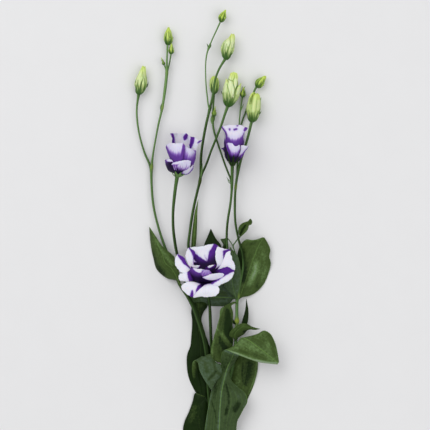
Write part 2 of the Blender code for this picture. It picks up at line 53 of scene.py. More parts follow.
def curve_through(points, shares):
    """Smooth curve through the points, at shares of its chord length.

    Between two points the place is the cubic whose ends are the points and whose end slopes
    are the central differences of the neighbours over the chord length.
    """
    points = np.asarray(points, float)
    steps = np.linalg.norm(np.diff(points[:, :3], axis=0), axis=1)
    knots = np.concatenate([[0], np.cumsum(steps)]) / steps.sum()
    slopes = np.gradient(points, knots, axis=0)
    shares = np.clip(np.asarray(shares, float), 0, 1)
    left = np.clip(np.searchsorted(knots, shares, "right") - 1, 0, len(knots) - 2)
    span = (knots[left + 1] - knots[left])[:, None]
    t = (shares - knots[left])[:, None] / span
    value_a = (1 + 2 * t) * (1 - t) ** 2 * points[left]
    value_b = t**2 * (3 - 2 * t) * points[left + 1]
    slope_a = t * (1 - t) ** 2 * span * slopes[left]
    slope_b = t**2 * (t - 1) * span * slopes[left + 1]
    return value_a + value_b + slope_a + slope_b


def unit(vectors):
    """Each vector divided by its length."""
    return vectors / np.maximum(np.linalg.norm(vectors, axis=-1, keepdims=True), 1e-9)


def smooth_step(low, high, value):
    """0 below low, 1 above high, and the cubic 3t^2 - 2t^3 between them."""
    t = np.clip((value - low) / (high - low), 0, 1)
    return t * t * (3 - 2 * t)


def grid_quads(rows, columns, closed):
    """Quads of a grid, whose last column meets the first when it is closed."""
    index = np.arange(rows * columns).reshape(rows, columns)
    after = np.roll(index, -1, axis=1)
    if not closed:
        index, after = index[:, :-1], after[:, :-1]
    return np.stack([index[:-1], after[:-1], after[1:], index[1:]], axis=-1).reshape(-1, 4)


class Body:
    """One closed surface: points in millimetres, faces, and one value a point in each layer."""

    def __init__(self, points, faces, **layers):
        """Keep the points, the groups of faces, and the layers as plain rows of values."""
        self.points = np.asarray(points, float).reshape(-1, 3)
        self.faces = faces
        self.layers = {label: np.ravel(values) for label, values in layers.items()}


LAYERS = ("side", "along", "across", "reach", "tone", "flush")


def place_object(name, data):
    """An object of this data, linked to the scene."""
    made = bpy.data.objects.new(name, data)
    bpy.context.scene.collection.objects.link(made)
    return made


def make_piece(name, bodies, finish, nodes=()):
    """One object from closed bodies. Its place is in its mesh, and it rides on the root."""
    starts = np.cumsum([0] + [len(body.points) for body in bodies])
    points = np.concatenate([body.points for body in bodies]) * MM
    faces = []
    for start, body in zip(starts, bodies):
        for group in body.faces:
            faces += (np.asarray(group) + start).tolist()
    mesh = bpy.data.meshes.new(name)
    mesh.from_pydata(points, [], faces)
    for label in LAYERS:
        values = [body.layers.get(label, np.zeros(len(body.points))) for body in bodies]
        attribute = mesh.attributes.new(label, "FLOAT", "POINT")
        attribute.data.foreach_set("value", np.concatenate(values).astype(np.float32))
    mesh.shade_smooth()
    mesh.materials.append(finish)
    made = place_object(name, mesh)
    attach(made, BODY)
    if nodes:
        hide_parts(*nodes)


def sheet_body(places, above, below, **layers):
    """A thin closed sheet round a grid of places.

    The upper face is the grid moved along its normal by above, the lower face is the grid moved
    back by below, and a strip round the border joins them. The normal is the cross product of
    the steps across and along the grid.
    """
    rows, columns = places.shape[:2]
    normal = unit(np.cross(np.gradient(places, axis=1), np.gradient(places, axis=0)))
    normal[0], normal[-1] = normal[1], normal[-2]
    upper = places + normal * above[..., None]
    lower = places - normal * below[..., None]
    index = np.arange(rows * columns).reshape(rows, columns)
    border = np.concatenate([index[0, :-1], index[:-1, -1], index[-1, :0:-1], index[:0:-1, 0]])
    after = np.roll(border, -1)
    count = rows * columns
    quads = grid_quads(rows, columns, False)
    strip = np.stack([after, border, border + count, after + count], axis=1)
    for label, value in layers.items():
        layers[label] = np.tile(np.broadcast_to(value, (rows, columns)).ravel(), 2)
    layers["side"] = np.repeat([0.0, 1.0], count)
    points = np.concatenate([upper.reshape(-1, 3), lower.reshape(-1, 3)])
    return Body(points, [quads, quads[:, ::-1] + count, strip], **layers)


def tube_body(centres, radii, sides, **layers):
    """A closed tube: rings of radii round the centres, with a fan of triangles at each end.

    radii holds one radius a ring, or one for each point of each ring. Angle 0 is the side
    towards +Z, and the angle grows towards +X for a tube that runs along +Y.
    """
    rows = len(centres)
    forward = unit(np.gradient(centres, axis=0))
    up = unit(np.array([0, 0, 1.0]) - forward * forward[:, 2:3])
    right = np.cross(forward, up)
    angle = np.arange(sides) / sides * 2 * math.pi
    radii = np.broadcast_to(radii if np.ndim(radii) == 2 else radii[:, None], (rows, sides))
    ring = np.cos(angle)[:, None] * up[:, None] + np.sin(angle)[:, None] * right[:, None]
    places = centres[:, None] + ring * radii[..., None]
    count = rows * sides
    points = np.concatenate([places.reshape(-1, 3), centres[:1], centres[-1:]])
    first, last = np.arange(sides), np.arange(count - sides, count)
    low = np.stack([np.full(sides, count), np.roll(first, -1), first], axis=1)
    high = np.stack([np.full(sides, count + 1), last, np.roll(last, -1)], axis=1)
    for label, value in layers.items():
        grid = np.broadcast_to(value, (rows, sides))
        layers[label] = np.concatenate([grid.ravel(), [grid[0].mean()], [grid[-1].mean()]])
    return Body(points, [grid_quads(rows, sides, True), low, high], **layers)


def band_depth(places, band):
    """How far inside a band each place is, seen from above: half width minus distance.

    The distance is to the nearest point of each straight stretch of the band, and the half
    width runs evenly along the stretch.
    """
    best = np.full(places.shape[:2], -np.inf)
    for (x0, y0, w0), (x1, y1, w1) in zip(band, band[1:]):
        step = np.array([x1 - x0, y1 - y0])
        offset = places[..., :2] - np.array([x0, y0])
        share = np.clip(offset @ step / (step @ step), 0, 1)
        distance = np.linalg.norm(offset - share[..., None] * step, axis=-1)
        best = np.maximum(best, abs(w0) + (abs(w1) - abs(w0)) * share - distance)
    return best


# ---------------------------------------------------------------- finishes


def node(tree, kind, settings=None, **inputs):
    """A node with its settings and its inputs: a socket is linked, a value is set."""
    made = tree.nodes.new("ShaderNode" + kind)
    for key, value in (settings or {}).items():
        setattr(made, key, value)
    for key, value in inputs.items():
        place = int(key[1:]) if key[0] == "i" and key[1:].isdigit() else key.replace("_", " ")
        socket = made.inputs[place]
        if isinstance(value, bpy.types.NodeSocket):
            tree.links.new(value, socket)
        else:
            socket.default_value = value
    return made


def maths(tree, operation, a, b=0.0):
    """One arithmetic step on two numbers, each a value or a socket."""
    return node(tree, "Math", {"operation": operation}, i0=a, i1=b).outputs[0]


def times(tree, a, b):
    """a times b."""
    return maths(tree, "MULTIPLY", a, b)


def plus(tree, a, b):
    """a plus b."""
    return maths(tree, "ADD", a, b)


def wander(tree, pattern, width):
    """A pattern of 0 to 1 moved to lie evenly round 0, over the width."""
    return times(tree, maths(tree, "SUBTRACT", pattern, 0.5), width)


def layer(tree, name):
    """The piece's own layer of that name, as a number."""
    return node(tree, "Attribute", {"attribute_name": name}).outputs["Fac"]


def stretched(tree, across, along, seed=0.0):
    """A place on the surface from its across and along layers, each stretched."""
    x = times(tree, layer(tree, "across"), across)
    y = times(tree, layer(tree, "along"), along)
    z = plus(tree, times(tree, layer(tree, "tone"), 31.0), seed)
    return node(tree, "CombineXYZ", X=x, Y=y, Z=z).outputs[0]


def noise(tree, place, scale, detail=2.0, roughness=0.5):
    """A cloudy pattern of 0 to 1, with scale clouds a metre or a unit of the place."""
    made = node(tree, "TexNoise", Vector=place, Scale=scale, Detail=detail, Roughness=roughness)
    return made.outputs["Fac"]


def spread(tree, value, low, high, bottom=0.0, top=1.0):
    """The value's range low..high carried smoothly to bottom..top."""
    settings = {"interpolation_type": "SMOOTHSTEP"}
    made = node(tree, "MapRange", settings, i0=value, i1=low, i2=high, i3=bottom, i4=top)
    return made.outputs[0]


def blend_colour(tree, share, a, b):
    """Colour a where the share is 0, colour b where it is 1."""
    made = node(tree, "Mix", {"data_type": "RGBA"}, i0=share)
    for index, value in ((6, a), (7, b)):
        if isinstance(value, bpy.types.NodeSocket):
            tree.links.new(value, made.inputs[index])
        else:
            made.inputs[index].default_value = (*value, 1)
    return made.outputs[2]


def new_finish(name):
    """A new material and its node tree."""
    material = bpy.data.materials.new(name)
    material.use_nodes = True
    return material, material.node_tree


def finish_shader(tree, colour, roughness, height, strength, distance, **sockets):
    """Link the colour, the roughness and the relief, whose distance is in millimetres."""
    shader = tree.nodes["Principled BSDF"]
    tree.links.new(colour, shader.inputs["Base Color"])
    tree.links.new(roughness, shader.inputs["Roughness"])
    bump = node(tree, "Bump", Height=height, Strength=strength, Distance=distance * MM)
    tree.links.new(bump.outputs[0], shader.inputs["Normal"])
    for key, value in sockets.items():
        shader.inputs[key.replace("_", " ")].default_value = value


def object_place(tree):
    """The place on the piece, in metres."""
    return node(tree, "TexCoord").outputs["Object"]


# Petal colours, from the throat of a bloom outwards, each as a darker and a lighter share.
# Near black in the throat: the flower's own deep violet, darkened further by painted shade.
THROAT_VIOLET_AND_SHADE = (0.012, 0.003, 0.034)
VIOLET = ((0.056, 0.009, 0.180), (0.120, 0.026, 0.320))
OUTER_VIOLET = (0.24, 0.12, 0.44)
LIGHT_VIOLET = (0.27, 0.13, 0.50)
PALE_LILAC = (0.54, 0.49, 0.75)
OUTER_LILAC = ((0.70, 0.67, 0.82), (0.58, 0.52, 0.73))
WHITE = ((0.85, 0.85, 0.905), (0.75, 0.74, 0.845))


def petal_finish():
    """White petal with violet bands: the flush layer is the violet's depth past its edge.

    Outwards from the violet the colour goes violet, light violet, pale lilac, white. Towards the
    base the violet darkens to near black, partly deep violet and partly painted shade in the
    throat.
    """
    material, tree = new_finish("petal_white_and_violet")
    streaks = noise(tree, stretched(tree, 11.0, 2.2), 1.0, 4.0, 0.6)
    fine = noise(tree, stretched(tree, 60.0, 3.0, 4.0), 1.0, 2.0)
    edge = plus(tree, layer(tree, "flush"), wander(tree, streaks, 1.7))
    under = layer(tree, "side")
    violet = blend_colour(tree, fine, *VIOLET)
    violet = blend_colour(tree, times(tree, under, 0.2), violet, OUTER_VIOLET)
    # painted shade in the throat, over its own deep violet, where the reach layer is high
    violet = blend_colour(tree, layer(tree, "reach"), violet, THROAT_VIOLET_AND_SHADE)
    white = blend_colour(tree, spread(tree, fine, 0.3, 0.75), *WHITE)
    lilac = blend_colour(tree, fine, *OUTER_LILAC)
    white = blend_colour(tree, times(tree, under, 0.4), white, lilac)
    pale = times(tree, spread(tree, edge, -2.0, -0.1), 0.5)
    colour = blend_colour(tree, pale, white, PALE_LILAC)
    colour = blend_colour(tree, spread(tree, edge, -0.45, 0.25), colour, LIGHT_VIOLET)
    colour = blend_colour(tree, spread(tree, edge, -0.05, 0.7), colour, violet)
    roughness = spread(tree, fine, 0.2, 0.8, 0.5, 0.68)
    height = plus(tree, fine, times(tree, streaks, 0.6))
    finish_shader(tree, colour, roughness, height, 0.35, 0.25, Specular_IOR_Level=0.1,
                  Subsurface_Weight=0.08, Subsurface_Scale=0.001)
    return material


# Leaf colours: shades of the upper and the lower face, each as a darker and a lighter mottle.
# The darkest also serve as painted shade where a leaf's tone is low.
LEAF_DARK = ((0.0035, 0.0100, 0.0012), (0.0115, 0.0300, 0.0040))
LEAF_MIDDLE = ((0.0310, 0.0570, 0.0110), (0.0640, 0.1020, 0.0260))
LEAF_LIGHT = ((0.1000, 0.1760, 0.0520), (0.1650, 0.2700, 0.0950))
# A painted sheen, mixed over the lightest tones of the upper face.
LEAF_PAINTED_SHEEN = (0.230, 0.310, 0.190)
UNDER_MIDDLE = ((0.0260, 0.0500, 0.0150), (0.0560, 0.0880, 0.0340))
UNDER_LIGHT = ((0.0620, 0.1060, 0.0680), (0.1080, 0.1620, 0.1080))
LEAF_STREAK = (0.070, 0.140, 0.028)
LEAF_VEIN = (0.150, 0.280, 0.060)
# The long veins: share of the half width at which each runs, and its strength.
LONG_VEINS = ((0.2, 0.6), (0.4, 1.0), (0.6, 0.8), (0.8, 0.6))
VEIN_HALF_WIDTHS = (0.006, 0.034)


def leaf_finish():
    """Waxy leaf: long veins, mottled green, grey-green underside, a pale margin and a painted sheen
    on the lightest tones.
    """
    material, tree = new_finish("leaf_waxy_green")
    place = object_place(tree)
    broad = noise(tree, place, 60.0, 2.0)
    mottle = noise(tree, place, 170.0, 4.0, 0.6)
    speckle = noise(tree, place, 480.0, 3.0, 0.6)
    cells = noise(tree, place, 1500.0, 2.0)
    lines = noise(tree, stretched(tree, 26.0, 5.0, 2.0), 1.0, 3.0)
    aside = maths(tree, "ABSOLUTE", layer(tree, "across"))
    sway = plus(tree, wander(tree, broad, 0.5), wander(tree, speckle, 0.7))
    tone = plus(tree, layer(tree, "tone"), sway)
    midrib = spread(tree, layer(tree, "reach"), 0.2, 0.75, 1.0, 0.0)
    vein = 0.0
    for share, strength in LONG_VEINS:
        away = maths(tree, "ABSOLUTE", maths(tree, "SUBTRACT", aside, share))
        vein = maths(tree, "MAXIMUM", vein, spread(tree, away, *VEIN_HALF_WIDTHS, strength, 0.0))
    margin = spread(tree, aside, 0.955, 0.99)
    veins = maths(tree, "MAXIMUM", midrib, times(tree, vein, 0.3))
    veins = times(tree, veins, layer(tree, "flush"))
    dark = blend_colour(tree, mottle, *LEAF_DARK)
    to_middle, to_light = spread(tree, tone, 0.0, 0.5), spread(tree, tone, 0.5, 1.0)
    upper = blend_colour(tree, to_middle, dark, blend_colour(tree, mottle, *LEAF_MIDDLE))
    upper = blend_colour(tree, to_light, upper, blend_colour(tree, mottle, *LEAF_LIGHT))
    # painted sheen where the tone, raised by the painted highlight strokes, is highest
    upper = blend_colour(tree, spread(tree, tone, 0.85, 1.35), upper, LEAF_PAINTED_SHEEN)
    lower = blend_colour(tree, to_middle, dark, blend_colour(tree, mottle, *UNDER_MIDDLE))
    lower = blend_colour(tree, to_light, lower, blend_colour(tree, mottle, *UNDER_LIGHT))
    colour = blend_colour(tree, layer(tree, "side"), upper, lower)
    lit = spread(tree, tone, 0.0, 0.6, 0.12, 1.0)
    streak = times(tree, spread(tree, lines, 0.45, 0.8), 0.3)
    colour = blend_colour(tree, times(tree, streak, lit), colour, LEAF_STREAK)
    pale = maths(tree, "MAXIMUM", times(tree, veins, 0.5), times(tree, margin, 0.5))
    colour = blend_colour(tree, times(tree, pale, lit), colour, LEAF_VEIN)
    roughness = spread(tree, mottle, 0.3, 0.7, 0.34, 0.5)
    relief = plus(tree, times(tree, cells, 0.12), times(tree, lines, 0.5))
    height = plus(tree, times(tree, veins, -0.8), relief)
    finish_shader(tree, colour, roughness, height, 0.5, 0.4, Specular_IOR_Level=0.07)
    return material


# Stem colours, each as a darker and a lighter blotch.
STEM_DARK = ((0.006, 0.014, 0.002), (0.016, 0.036, 0.006))
STEM_MIDDLE = ((0.050, 0.110, 0.028), (0.085, 0.165, 0.048))
STEM_LIGHT = ((0.140, 0.270, 0.080), (0.240, 0.400, 0.150))
STEM_STREAK = (0.190, 0.340, 0.095)
JOINT_YELLOW = (0.270, 0.340, 0.045)


def stem_finish():
    """Smooth glaucous stem with fine lengthwise streaks; the tone layer goes dark to light and
    holds the painted highlight and painted shade of stem_body.
    """
    material, tree = new_finish("stem_green")
    streaks = noise(tree, stretched(tree, 16.0, 0.05, 1.0), 1.0, 3.0)
    blotch = noise(tree, object_place(tree), 90.0, 3.0)
    tone = layer(tree, "tone")
    dark, middle, light = (blend_colour(tree, blotch, *pair)
                           for pair in (STEM_DARK, STEM_MIDDLE, STEM_LIGHT))
    colour = blend_colour(tree, spread(tree, tone, 0.0, 0.5), dark, middle)
    colour = blend_colour(tree, spread(tree, tone, 0.5, 1.0), colour, light)
    streak = times(tree, spread(tree, streaks, 0.4, 0.8), 0.3)
    colour = blend_colour(tree, times(tree, streak, tone), colour, STEM_STREAK)
    colour = blend_colour(tree, layer(tree, "flush"), colour, JOINT_YELLOW)
    roughness = spread(tree, blotch, 0.3, 0.7, 0.42, 0.58)
    finish_shader(tree, colour, roughness, streaks, 0.4, 0.2, Specular_IOR_Level=0.07)
    return material


# Bud colours, each for the yellow-green buds and for the white-green ones.
SIDE_GREEN = ((0.450, 0.640, 0.060), (0.820, 0.880, 0.540))
STREAK_GREEN = ((0.085, 0.220, 0.014), (0.380, 0.560, 0.130))
# Lobe colour is a painted highlight; crease colour is painted shade in the creases, and also the
# free petals' green middle line.
LOBE_PAINTED_HIGHLIGHT = ((0.560, 0.740, 0.090), (0.960, 0.980, 0.800))
CREASE_SHADE_AND_MIDLINE_GREEN = ((0.030, 0.100, 0.006), (0.190, 0.340, 0.055))
FOOT_GREEN = (0.034, 0.112, 0.012)
TIP_YELLOW = (0.640, 0.790, 0.120)


def bud_finish():
    """Bud petals: lobes with a painted highlight, streaked green sides, creases with painted shade,
    a green middle line on the free petals and a dark green base.
    """
    material, tree = new_finish("bud_pale_green")
    streaks = noise(tree, stretched(tree, 16.0, 2.2, 3.0), 1.0, 3.0)
    fine = noise(tree, stretched(tree, 60.0, 5.0, 6.0), 1.0, 2.0)
    along, tone = layer(tree, "along"), layer(tree, "tone")
    side, streak, lobe_and_highlight, crease_and_shade = (blend_colour(tree, tone, *pair)
                                  for pair in (SIDE_GREEN, STREAK_GREEN, LOBE_PAINTED_HIGHLIGHT, CREASE_SHADE_AND_MIDLINE_GREEN))
    streaked = times(tree, spread(tree, streaks, 0.42, 0.60), 0.75)
    colour = blend_colour(tree, streaked, side, streak)
    # painted highlight on the lobes, then painted shade in the creases
    colour = blend_colour(tree, times(tree, layer(tree, "reach"), 0.75), colour, lobe_and_highlight)
    colour = blend_colour(tree, times(tree, layer(tree, "flush"), 0.8), colour, crease_and_shade)
    foot = spread(tree, plus(tree, along, times(tree, streaks, -0.36)), -0.15, 0.26, 1.0, 0.0)
    colour = blend_colour(tree, foot, colour, FOOT_GREEN)
    colour = blend_colour(tree, spread(tree, along, 0.66, 0.98, 0.0, 0.6), colour, TIP_YELLOW)
    height = plus(tree, streaks, times(tree, fine, 0.5))
    roughness = spread(tree, streaks, 0.3, 0.7, 0.42, 0.56)
    finish_shader(tree, colour, roughness, height, 0.45, 0.3, Specular_IOR_Level=0.2,
                  Subsurface_Weight=0.08, Subsurface_Scale=0.0015)
    return material


PETAL = petal_finish()
LEAF = leaf_finish()
STEM = stem_finish()
BUD = bud_finish()

# ---------------------------------------------------------------- stems

# Routes of the stems: x, y, z and radius, from the older wood to the young end.
STEMS = {
    "main_stem": [
        (15, -235, 2.8, 2.8), (13, -215, 4, 2.8), (10, -195, 6, 2.7), (9.5, -182, 7, 2.6),
        (13, -165, 8, 2.1), (20, -145, 8.5, 1.9), (25, -125, 9, 1.8), (28.5, -100, 9, 1.7),
        (29.8, -75, 9, 1.7), (30.4, -52, 9.5, 1.6), (33.4, -36, 10.5, 1.35), (36.3, -19, 11, 1.3),
        (35.7, -9, 11, 1.25), (31.7, 5, 10.5, 1.15), (28.5, 22, 9.5, 1.15), (27.9, 42, 8.5, 1.25),
        (28.6, 57, 7, 1.25), (30.8, 71.5, 4.4, 1.3), (33.7, 84, 3.4, 1.25), (38.6, 100, 4.4, 1.3),
        (41.6, 110.5, 7.5, 1.35), (44.4, 122.6, 10, 1.5)],
    "left_stem": [
        (4, -178, 7.5, 2.3), (3, -160, 8, 2.4), (1, -135, 8, 2.4), (0, -112, 8.5, 2.5),
        (-3.6, -91, 9, 2.5), (-8.6, -75, 9, 2.5), (-13.4, -62, 9, 2.4), (-19.4, -51, 9, 2),
        (-27.4, -39.5, 8.5, 1.6), (-34.4, -21, 7.5, 1.4), (-41.8, -3, 6.5, 1.3),
        (-49.3, 20, 5.5, 1.2), (-53.4, 38, 5, 1.2), (-55.4, 59, 4.5, 1.25), (-55.6, 76, 4.5, 1.4),
        (-54.3, 89, 4.5, 1), (-51.8, 104, 4.8, 0.95), (-48.8, 120, 5, 1), (-44.9, 137, 5.5, 1.2),
        (-41.4, 161, 6, 1.55), (-40.3, 172, 6, 1.4), (-40.2, 184, 6, 0.95), (-39.5, 200.6, 6, 1)],
    "centre_stem": [
        (5, -109, 9, 1.5), (3.9, -92, 9, 1.5), (3.1, -76, 8.6, 1.4), (1.8, -56, 6.5, 1.35),
        (-4, -38, 4.2, 1.35), (-14, -18, 4.2, 1.4), (-18.6, -2, 5.5, 1.4), (-17.3, 12, 6.5, 1.4),
        (-15.2, 27, 7.5, 1.4), (-13, 39, 8, 1.4), (-9.8, 53, 8.5, 1.4), (-6.9, 65, 9, 1.45),
        (-5.9, 89, 9.5, 1.35), (-1.8, 116, 10.5, 1.35), (2.5, 135, 11.4, 1.3),
        (5.1, 146, 11.8, 1.2), (9.1, 168.5, 11.6, 1.1), (12.6, 177, 10.5, 1.15),
        (16.6, 183.6, 9.2, 1.4), (18.4, 186.4, 9.2, 1.6)],
    "open_bloom_pedicel": [
        (4.3, -96, 9, 1.1), (3.9, -80, 9.4, 1.2), (3.3, -66, 10, 1.25), (2.2, -56, 11.6, 1.35),
        (-1, -46, 14.4, 1.7), (-2, -41, 18, 2)],
    "left_bloom_stem": [
        (-22.8, -46.4, 8.9, 1.2), (-22, -36.5, 11.8, 1.4), (-25.4, -24, 12.6, 1.4),
        (-30.1, -8, 14, 1.5), (-32.3, 4, 15, 1.5), (-33.7, 17, 16, 1.45), (-33.9, 32, 17.5, 1.45),
        (-32.7, 47, 18.8, 1.6), (-31.2, 59, 19.6, 1.75), (-29.8, 68, 20, 2.1)],
    "right_bloom_stem": [
        (30.4, -54, 9.4, 1.3), (27.6, -44, 11, 1.3), (23, -22, 10, 1.3), (20.4, -4, 9.5, 1.3),
        (19.8, 4, 9.5, 1.25), (19.9, 15, 10, 1.25), (21.1, 27, 11, 1.25), (23.1, 39, 12.4, 1.2),
        (24.6, 53, 14.4, 1.25), (24.9, 62, 16, 1.6), (25.1, 70, 17.6, 1.6), (25.3, 79, 19, 1.8)],
    "bud_stem_top": [
        (2.8, 134, 12, 0.9), (1.3, 140, 12, 0.8), (0.3, 148, 11.6, 0.75), (-0.7, 157, 11, 0.7),
        (-1.4, 172, 10, 0.65), (-1.3, 182, 9.5, 0.65), (-0.1, 191.4, 9, 0.75), (4.1, 203, 8.5, 0.7),
        (8.9, 213.6, 8, 0.75), (13, 222.6, 8, 0.85)],
    "bud_stem_green": [
        (24.6, 58, 15, 0.9), (23.6, 66, 13.4, 0.95), (21.3, 72, 10.6, 0.95), (18.2, 80, 7.8, 0.95),
        (14.4, 91, 6, 0.95), (10, 104, 5, 1), (6.4, 117, 4.6, 1), (5.8, 126, 4.6, 1.1),
        (6.2, 138, 4.6, 1), (7, 151.6, 4.8, 1.1)],
    "bud_stem_pale": [
        (-7.6, 61, 9.4, 1), (-5.4, 70, 9.5, 1.1), (-1, 80, 9.6, 1.15), (4.1, 94, 9.6, 1.15),
        (10.1, 109, 9.8, 1.15), (14.7, 121, 9.8, 1.25), (18.3, 132, 9.8, 1.4),
        (20.8, 139, 9.8, 1.8)],
    "bud_stem_small": [
        (32, 117, 3.6, 0.7), (32.8, 129, 4, 0.7), (33.8, 138, 4, 0.75), (35.6, 148.4, 4, 0.8)],
    "bud_stem_right": [
        (30, 70, 3.4, 0.9), (30.4, 80, 1.6, 0.9), (31.5, 98, 1.4, 0.85), (33.9, 119.5, 1.8, 0.8),
        (37.4, 130, 2.1, 0.85), (43.6, 146, 3.4, 0.9), (47.2, 154, 5, 0.95),
        (49.6, 158.6, 5.8, 1.2)],
    "bud_stem_left": [
        (-55.9, 71, 4.4, 1), (-57.3, 80, 4.3, 1.1), (-61.6, 90, 4.3, 1.05), (-66.4, 105, 4.6, 0.95),
        (-69.6, 122, 5, 0.95), (-70.3, 136, 5.4, 1), (-69.2, 146, 5.8, 1.3),
        (-68.2, 152, 5.8, 1.8)],
    "side_shoot": [
        (35, -30, 10.6, 0.7), (31.6, -20, 9.8, 0.65), (28.8, -9.6, 8.8, 0.65),
        (27.2, -5, 8.2, 0.65), (26.1, -1, 7.8, 0.7), (28.4, 2.8, 7, 0.65), (30.5, 5.5, 6.6, 0.7),
        (33, 8.2, 6.9, 0.8)],
    "bud_stem_twin": [
        (-40.6, 170.6, 6.4, 0.9), (-39, 176, 6.8, 0.75), (-37.6, 182, 7, 0.75),
        (-36.6, 187.6, 7, 0.75), (-35.9, 192, 7, 0.8)],
    "bud_stem_tiny_left": [
        (-40.6, 173.4, 6, 0.8), (-41.8, 177.6, 6.2, 0.65), (-43.4, 181.2, 6.3, 0.65)],
    "bud_stem_tiny_centre": [(6, 123, 5, 0.8), (7.4, 126.4, 6, 0.7), (7.4, 129.6, 6.5, 0.7)],
    "side_shoot_twig": [
        (26.2, -1.4, 7.8, 0.55), (24.4, 1.7, 7.8, 0.5), (22.8, 4, 7.7, 0.5), (21.3, 5.9, 7.4, 0.5),
        (19.6, 6.5, 7.1, 0.5)],
}

# Tones of each stem, dark 0 to light 1, at equal steps from its old end to its young end.
STEM_TONES = {
    "main_stem": (0.2, 0.2, 0.1, 0.0, 0.15, 0.35, 0.6, 0.65, 0.62, 0.6, 0.04, 0.12, 0.3, 0.35,
                  0.35, 0.42, 0.6),
    "left_stem": (0.0, 0.0, 0.02, 0.12, 0.42, 0.55, 0.68, 0.78, 0.84),
    "centre_stem": (0.0, 0.03, 0.1, 0.2, 0.2, 0.12, 0.2, 0.44, 0.6),
    "open_bloom_pedicel": (0.0, 0.05, 0.2), "left_bloom_stem": (0.0, 0.0, 0.12, 0.22, 0.45),
    "right_bloom_stem": (0.6, 0.4, 0.14, 0.38, 0.3), "bud_stem_top": (0.7, 0.75),
    "bud_stem_green": (0.3, 0.2, 0.35, 0.68, 0.5), "bud_stem_pale": (0.2, 0.12, 0.3, 0.5, 0.6),
    "bud_stem_small": (0.65, 0.65), "bud_stem_right": (0.3, 0.3, 0.35, 0.55, 0.65),
    "bud_stem_left": (0.35, 0.5, 0.62, 0.72, 0.5), "side_shoot": (0.4, 0.4),
    "bud_stem_twin": (0.55, 0.6), "bud_stem_tiny_left": (0.7, 0.7),
    "bud_stem_tiny_centre": (0.6, 0.6), "side_shoot_twig": (0.4, 0.5),
}

# Joints where the stems fork: stem, height up the spray, how much it swells, and yellowness.
JOINTS = [
    ("main_stem", -76, 0.55, 1.0), ("main_stem", -51, 0.5, 0.4), ("main_stem", 58, 0.25, 0.4),
    ("left_stem", 78, 0.3, 0.45), ("left_stem", 137.6, 0.3, 0.45), ("left_stem", 173, 0.2, 0.15),
    ("centre_stem", 64, 0.25, 0.1), ("centre_stem", 136, 0.3, 0.0),
    ("bud_stem_top", 198, 0.85, 0.0), ("bud_stem_green", 127, 0.25, 0.3),
]
# Stems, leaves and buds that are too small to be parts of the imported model.
OWN_PIECES = ("bud_stem_twin", "bud_stem_tiny_left", "bud_stem_tiny_centre", "side_shoot_twig",
              "bud_twin", "bud_tiny_left", "bud_tiny_centre", "leaf_small_shoot")
STEM_SIDES = 20
RING_SPACING = 2.0
FEWEST_RINGS = 8
# Half length of a joint's swelling, slow thickening along the stem, and depth of its corners.
JOINT_REACH = 2.6
STEM_WAVE, STEM_WAVE_STEP = 0.02, 7.0
CORNER_DEPTH = 0.035
# Radii of the two closing rings, and how far past the end each stands, in end radii.
END_RADII = np.array([0.35, 0.75])
END_RISES = np.array([0.55, 0.3])[:, None]
# The ridge towards the light: where it lies, how light its painted highlight is and how wide.
# Then the painted shade of the flanks, which turn away from the light.
RIDGE_TURN, RIDGE_PAINTED_HIGHLIGHT, PAINTED_HIGHLIGHT_WIDTH = 0.6, 0.34, 0.3
RIGHT_PAINTED_SHADE, LEFT_PAINTED_SHADE, LEAST_PAINTED_SHADE = 0.4, 0.24, 0.45


def stem_body(route, tones, joints):
    """A tube along the route, a little four-angled, with a spindle-shaped swelling a joint.

    radius = route radius * (1 + corner depth * cos 4a) * (1 + swelling * exp(-(d / reach)^2)),
    d being the distance up the spray from the joint, and two closing rings round each end off.
    A painted highlight lies along the ridge up to the left, towards the light, and painted shade
    darkens the flanks by the square of their sideways lean.
    """
    route = np.asarray(route, float)
    length = np.linalg.norm(np.diff(route[:, :3], axis=0), axis=1).sum()
    shares = np.linspace(0, 1, max(FEWEST_RINGS, round(length / RING_SPACING)))
    path = curve_through(route, shares)
    radii = path[:, 3] * (1 + STEM_WAVE * np.sin(shares * length / STEM_WAVE_STEP))
    yellow = np.zeros(len(shares))
    for height, swelling, yellowness in joints:
        near = np.exp(-(((path[:, 1] - height) / JOINT_REACH) ** 2))
        radii = radii * (1 + swelling * near)
        yellow = np.maximum(yellow, yellowness * near)
    centres = path[:, :3]
    ahead, behind = unit(centres[-1] - centres[-2]), unit(centres[0] - centres[1])
    centres = np.concatenate([centres[:1] + behind * radii[0] * END_RISES, centres,
                              centres[-1:] + ahead * radii[-1] * END_RISES[::-1]])
    radii = np.concatenate([END_RADII * radii[0], radii, END_RADII[::-1] * radii[-1]])
    along = np.concatenate([[0, 0], shares, [1, 1]])
    angle = np.arange(STEM_SIDES) / STEM_SIDES * 2 * math.pi
    around = radii[:, None] * (1 + CORNER_DEPTH * np.cos(4 * (angle + RIDGE_TURN)))[None, :]
    # painted highlight along the ridge towards the light, and painted shade on the flanks turned
    # from it
    nearest = (angle + RIDGE_TURN + math.pi) % (2 * math.pi) - math.pi
    aside = np.sin(angle)
    painted_highlight = RIDGE_PAINTED_HIGHLIGHT * np.exp(-((nearest / PAINTED_HIGHLIGHT_WIDTH) ** 2))
    painted_flank_shade = np.where(aside > 0, RIGHT_PAINTED_SHADE, LEFT_PAINTED_SHADE) * aside**2
    tone = np.interp(along, np.linspace(0, 1, len(tones)), tones)
    tone = tone[:, None] + painted_highlight[None, :] - painted_flank_shade[None, :] * (LEAST_PAINTED_SHADE + tone[:, None])
    return tube_body(centres, around, STEM_SIDES, along=(along * length)[:, None],
                     across=(1 - np.abs(angle / math.pi - 1))[None, :], tone=np.clip(tone, 0, 1),
                     flush=np.concatenate([[0, 0], yellow, [0, 0]])[:, None])


def make_stems():
    """One piece for every stem."""
    for name, route in STEMS.items():
        joints = [joint[1:] for joint in JOINTS if joint[0] == name]
        nodes = [] if name in OWN_PIECES else [name]
        make_piece(name, [stem_body(route, STEM_TONES[name], joints)], STEM, nodes)


# ---------------------------------------------------------------- leaves

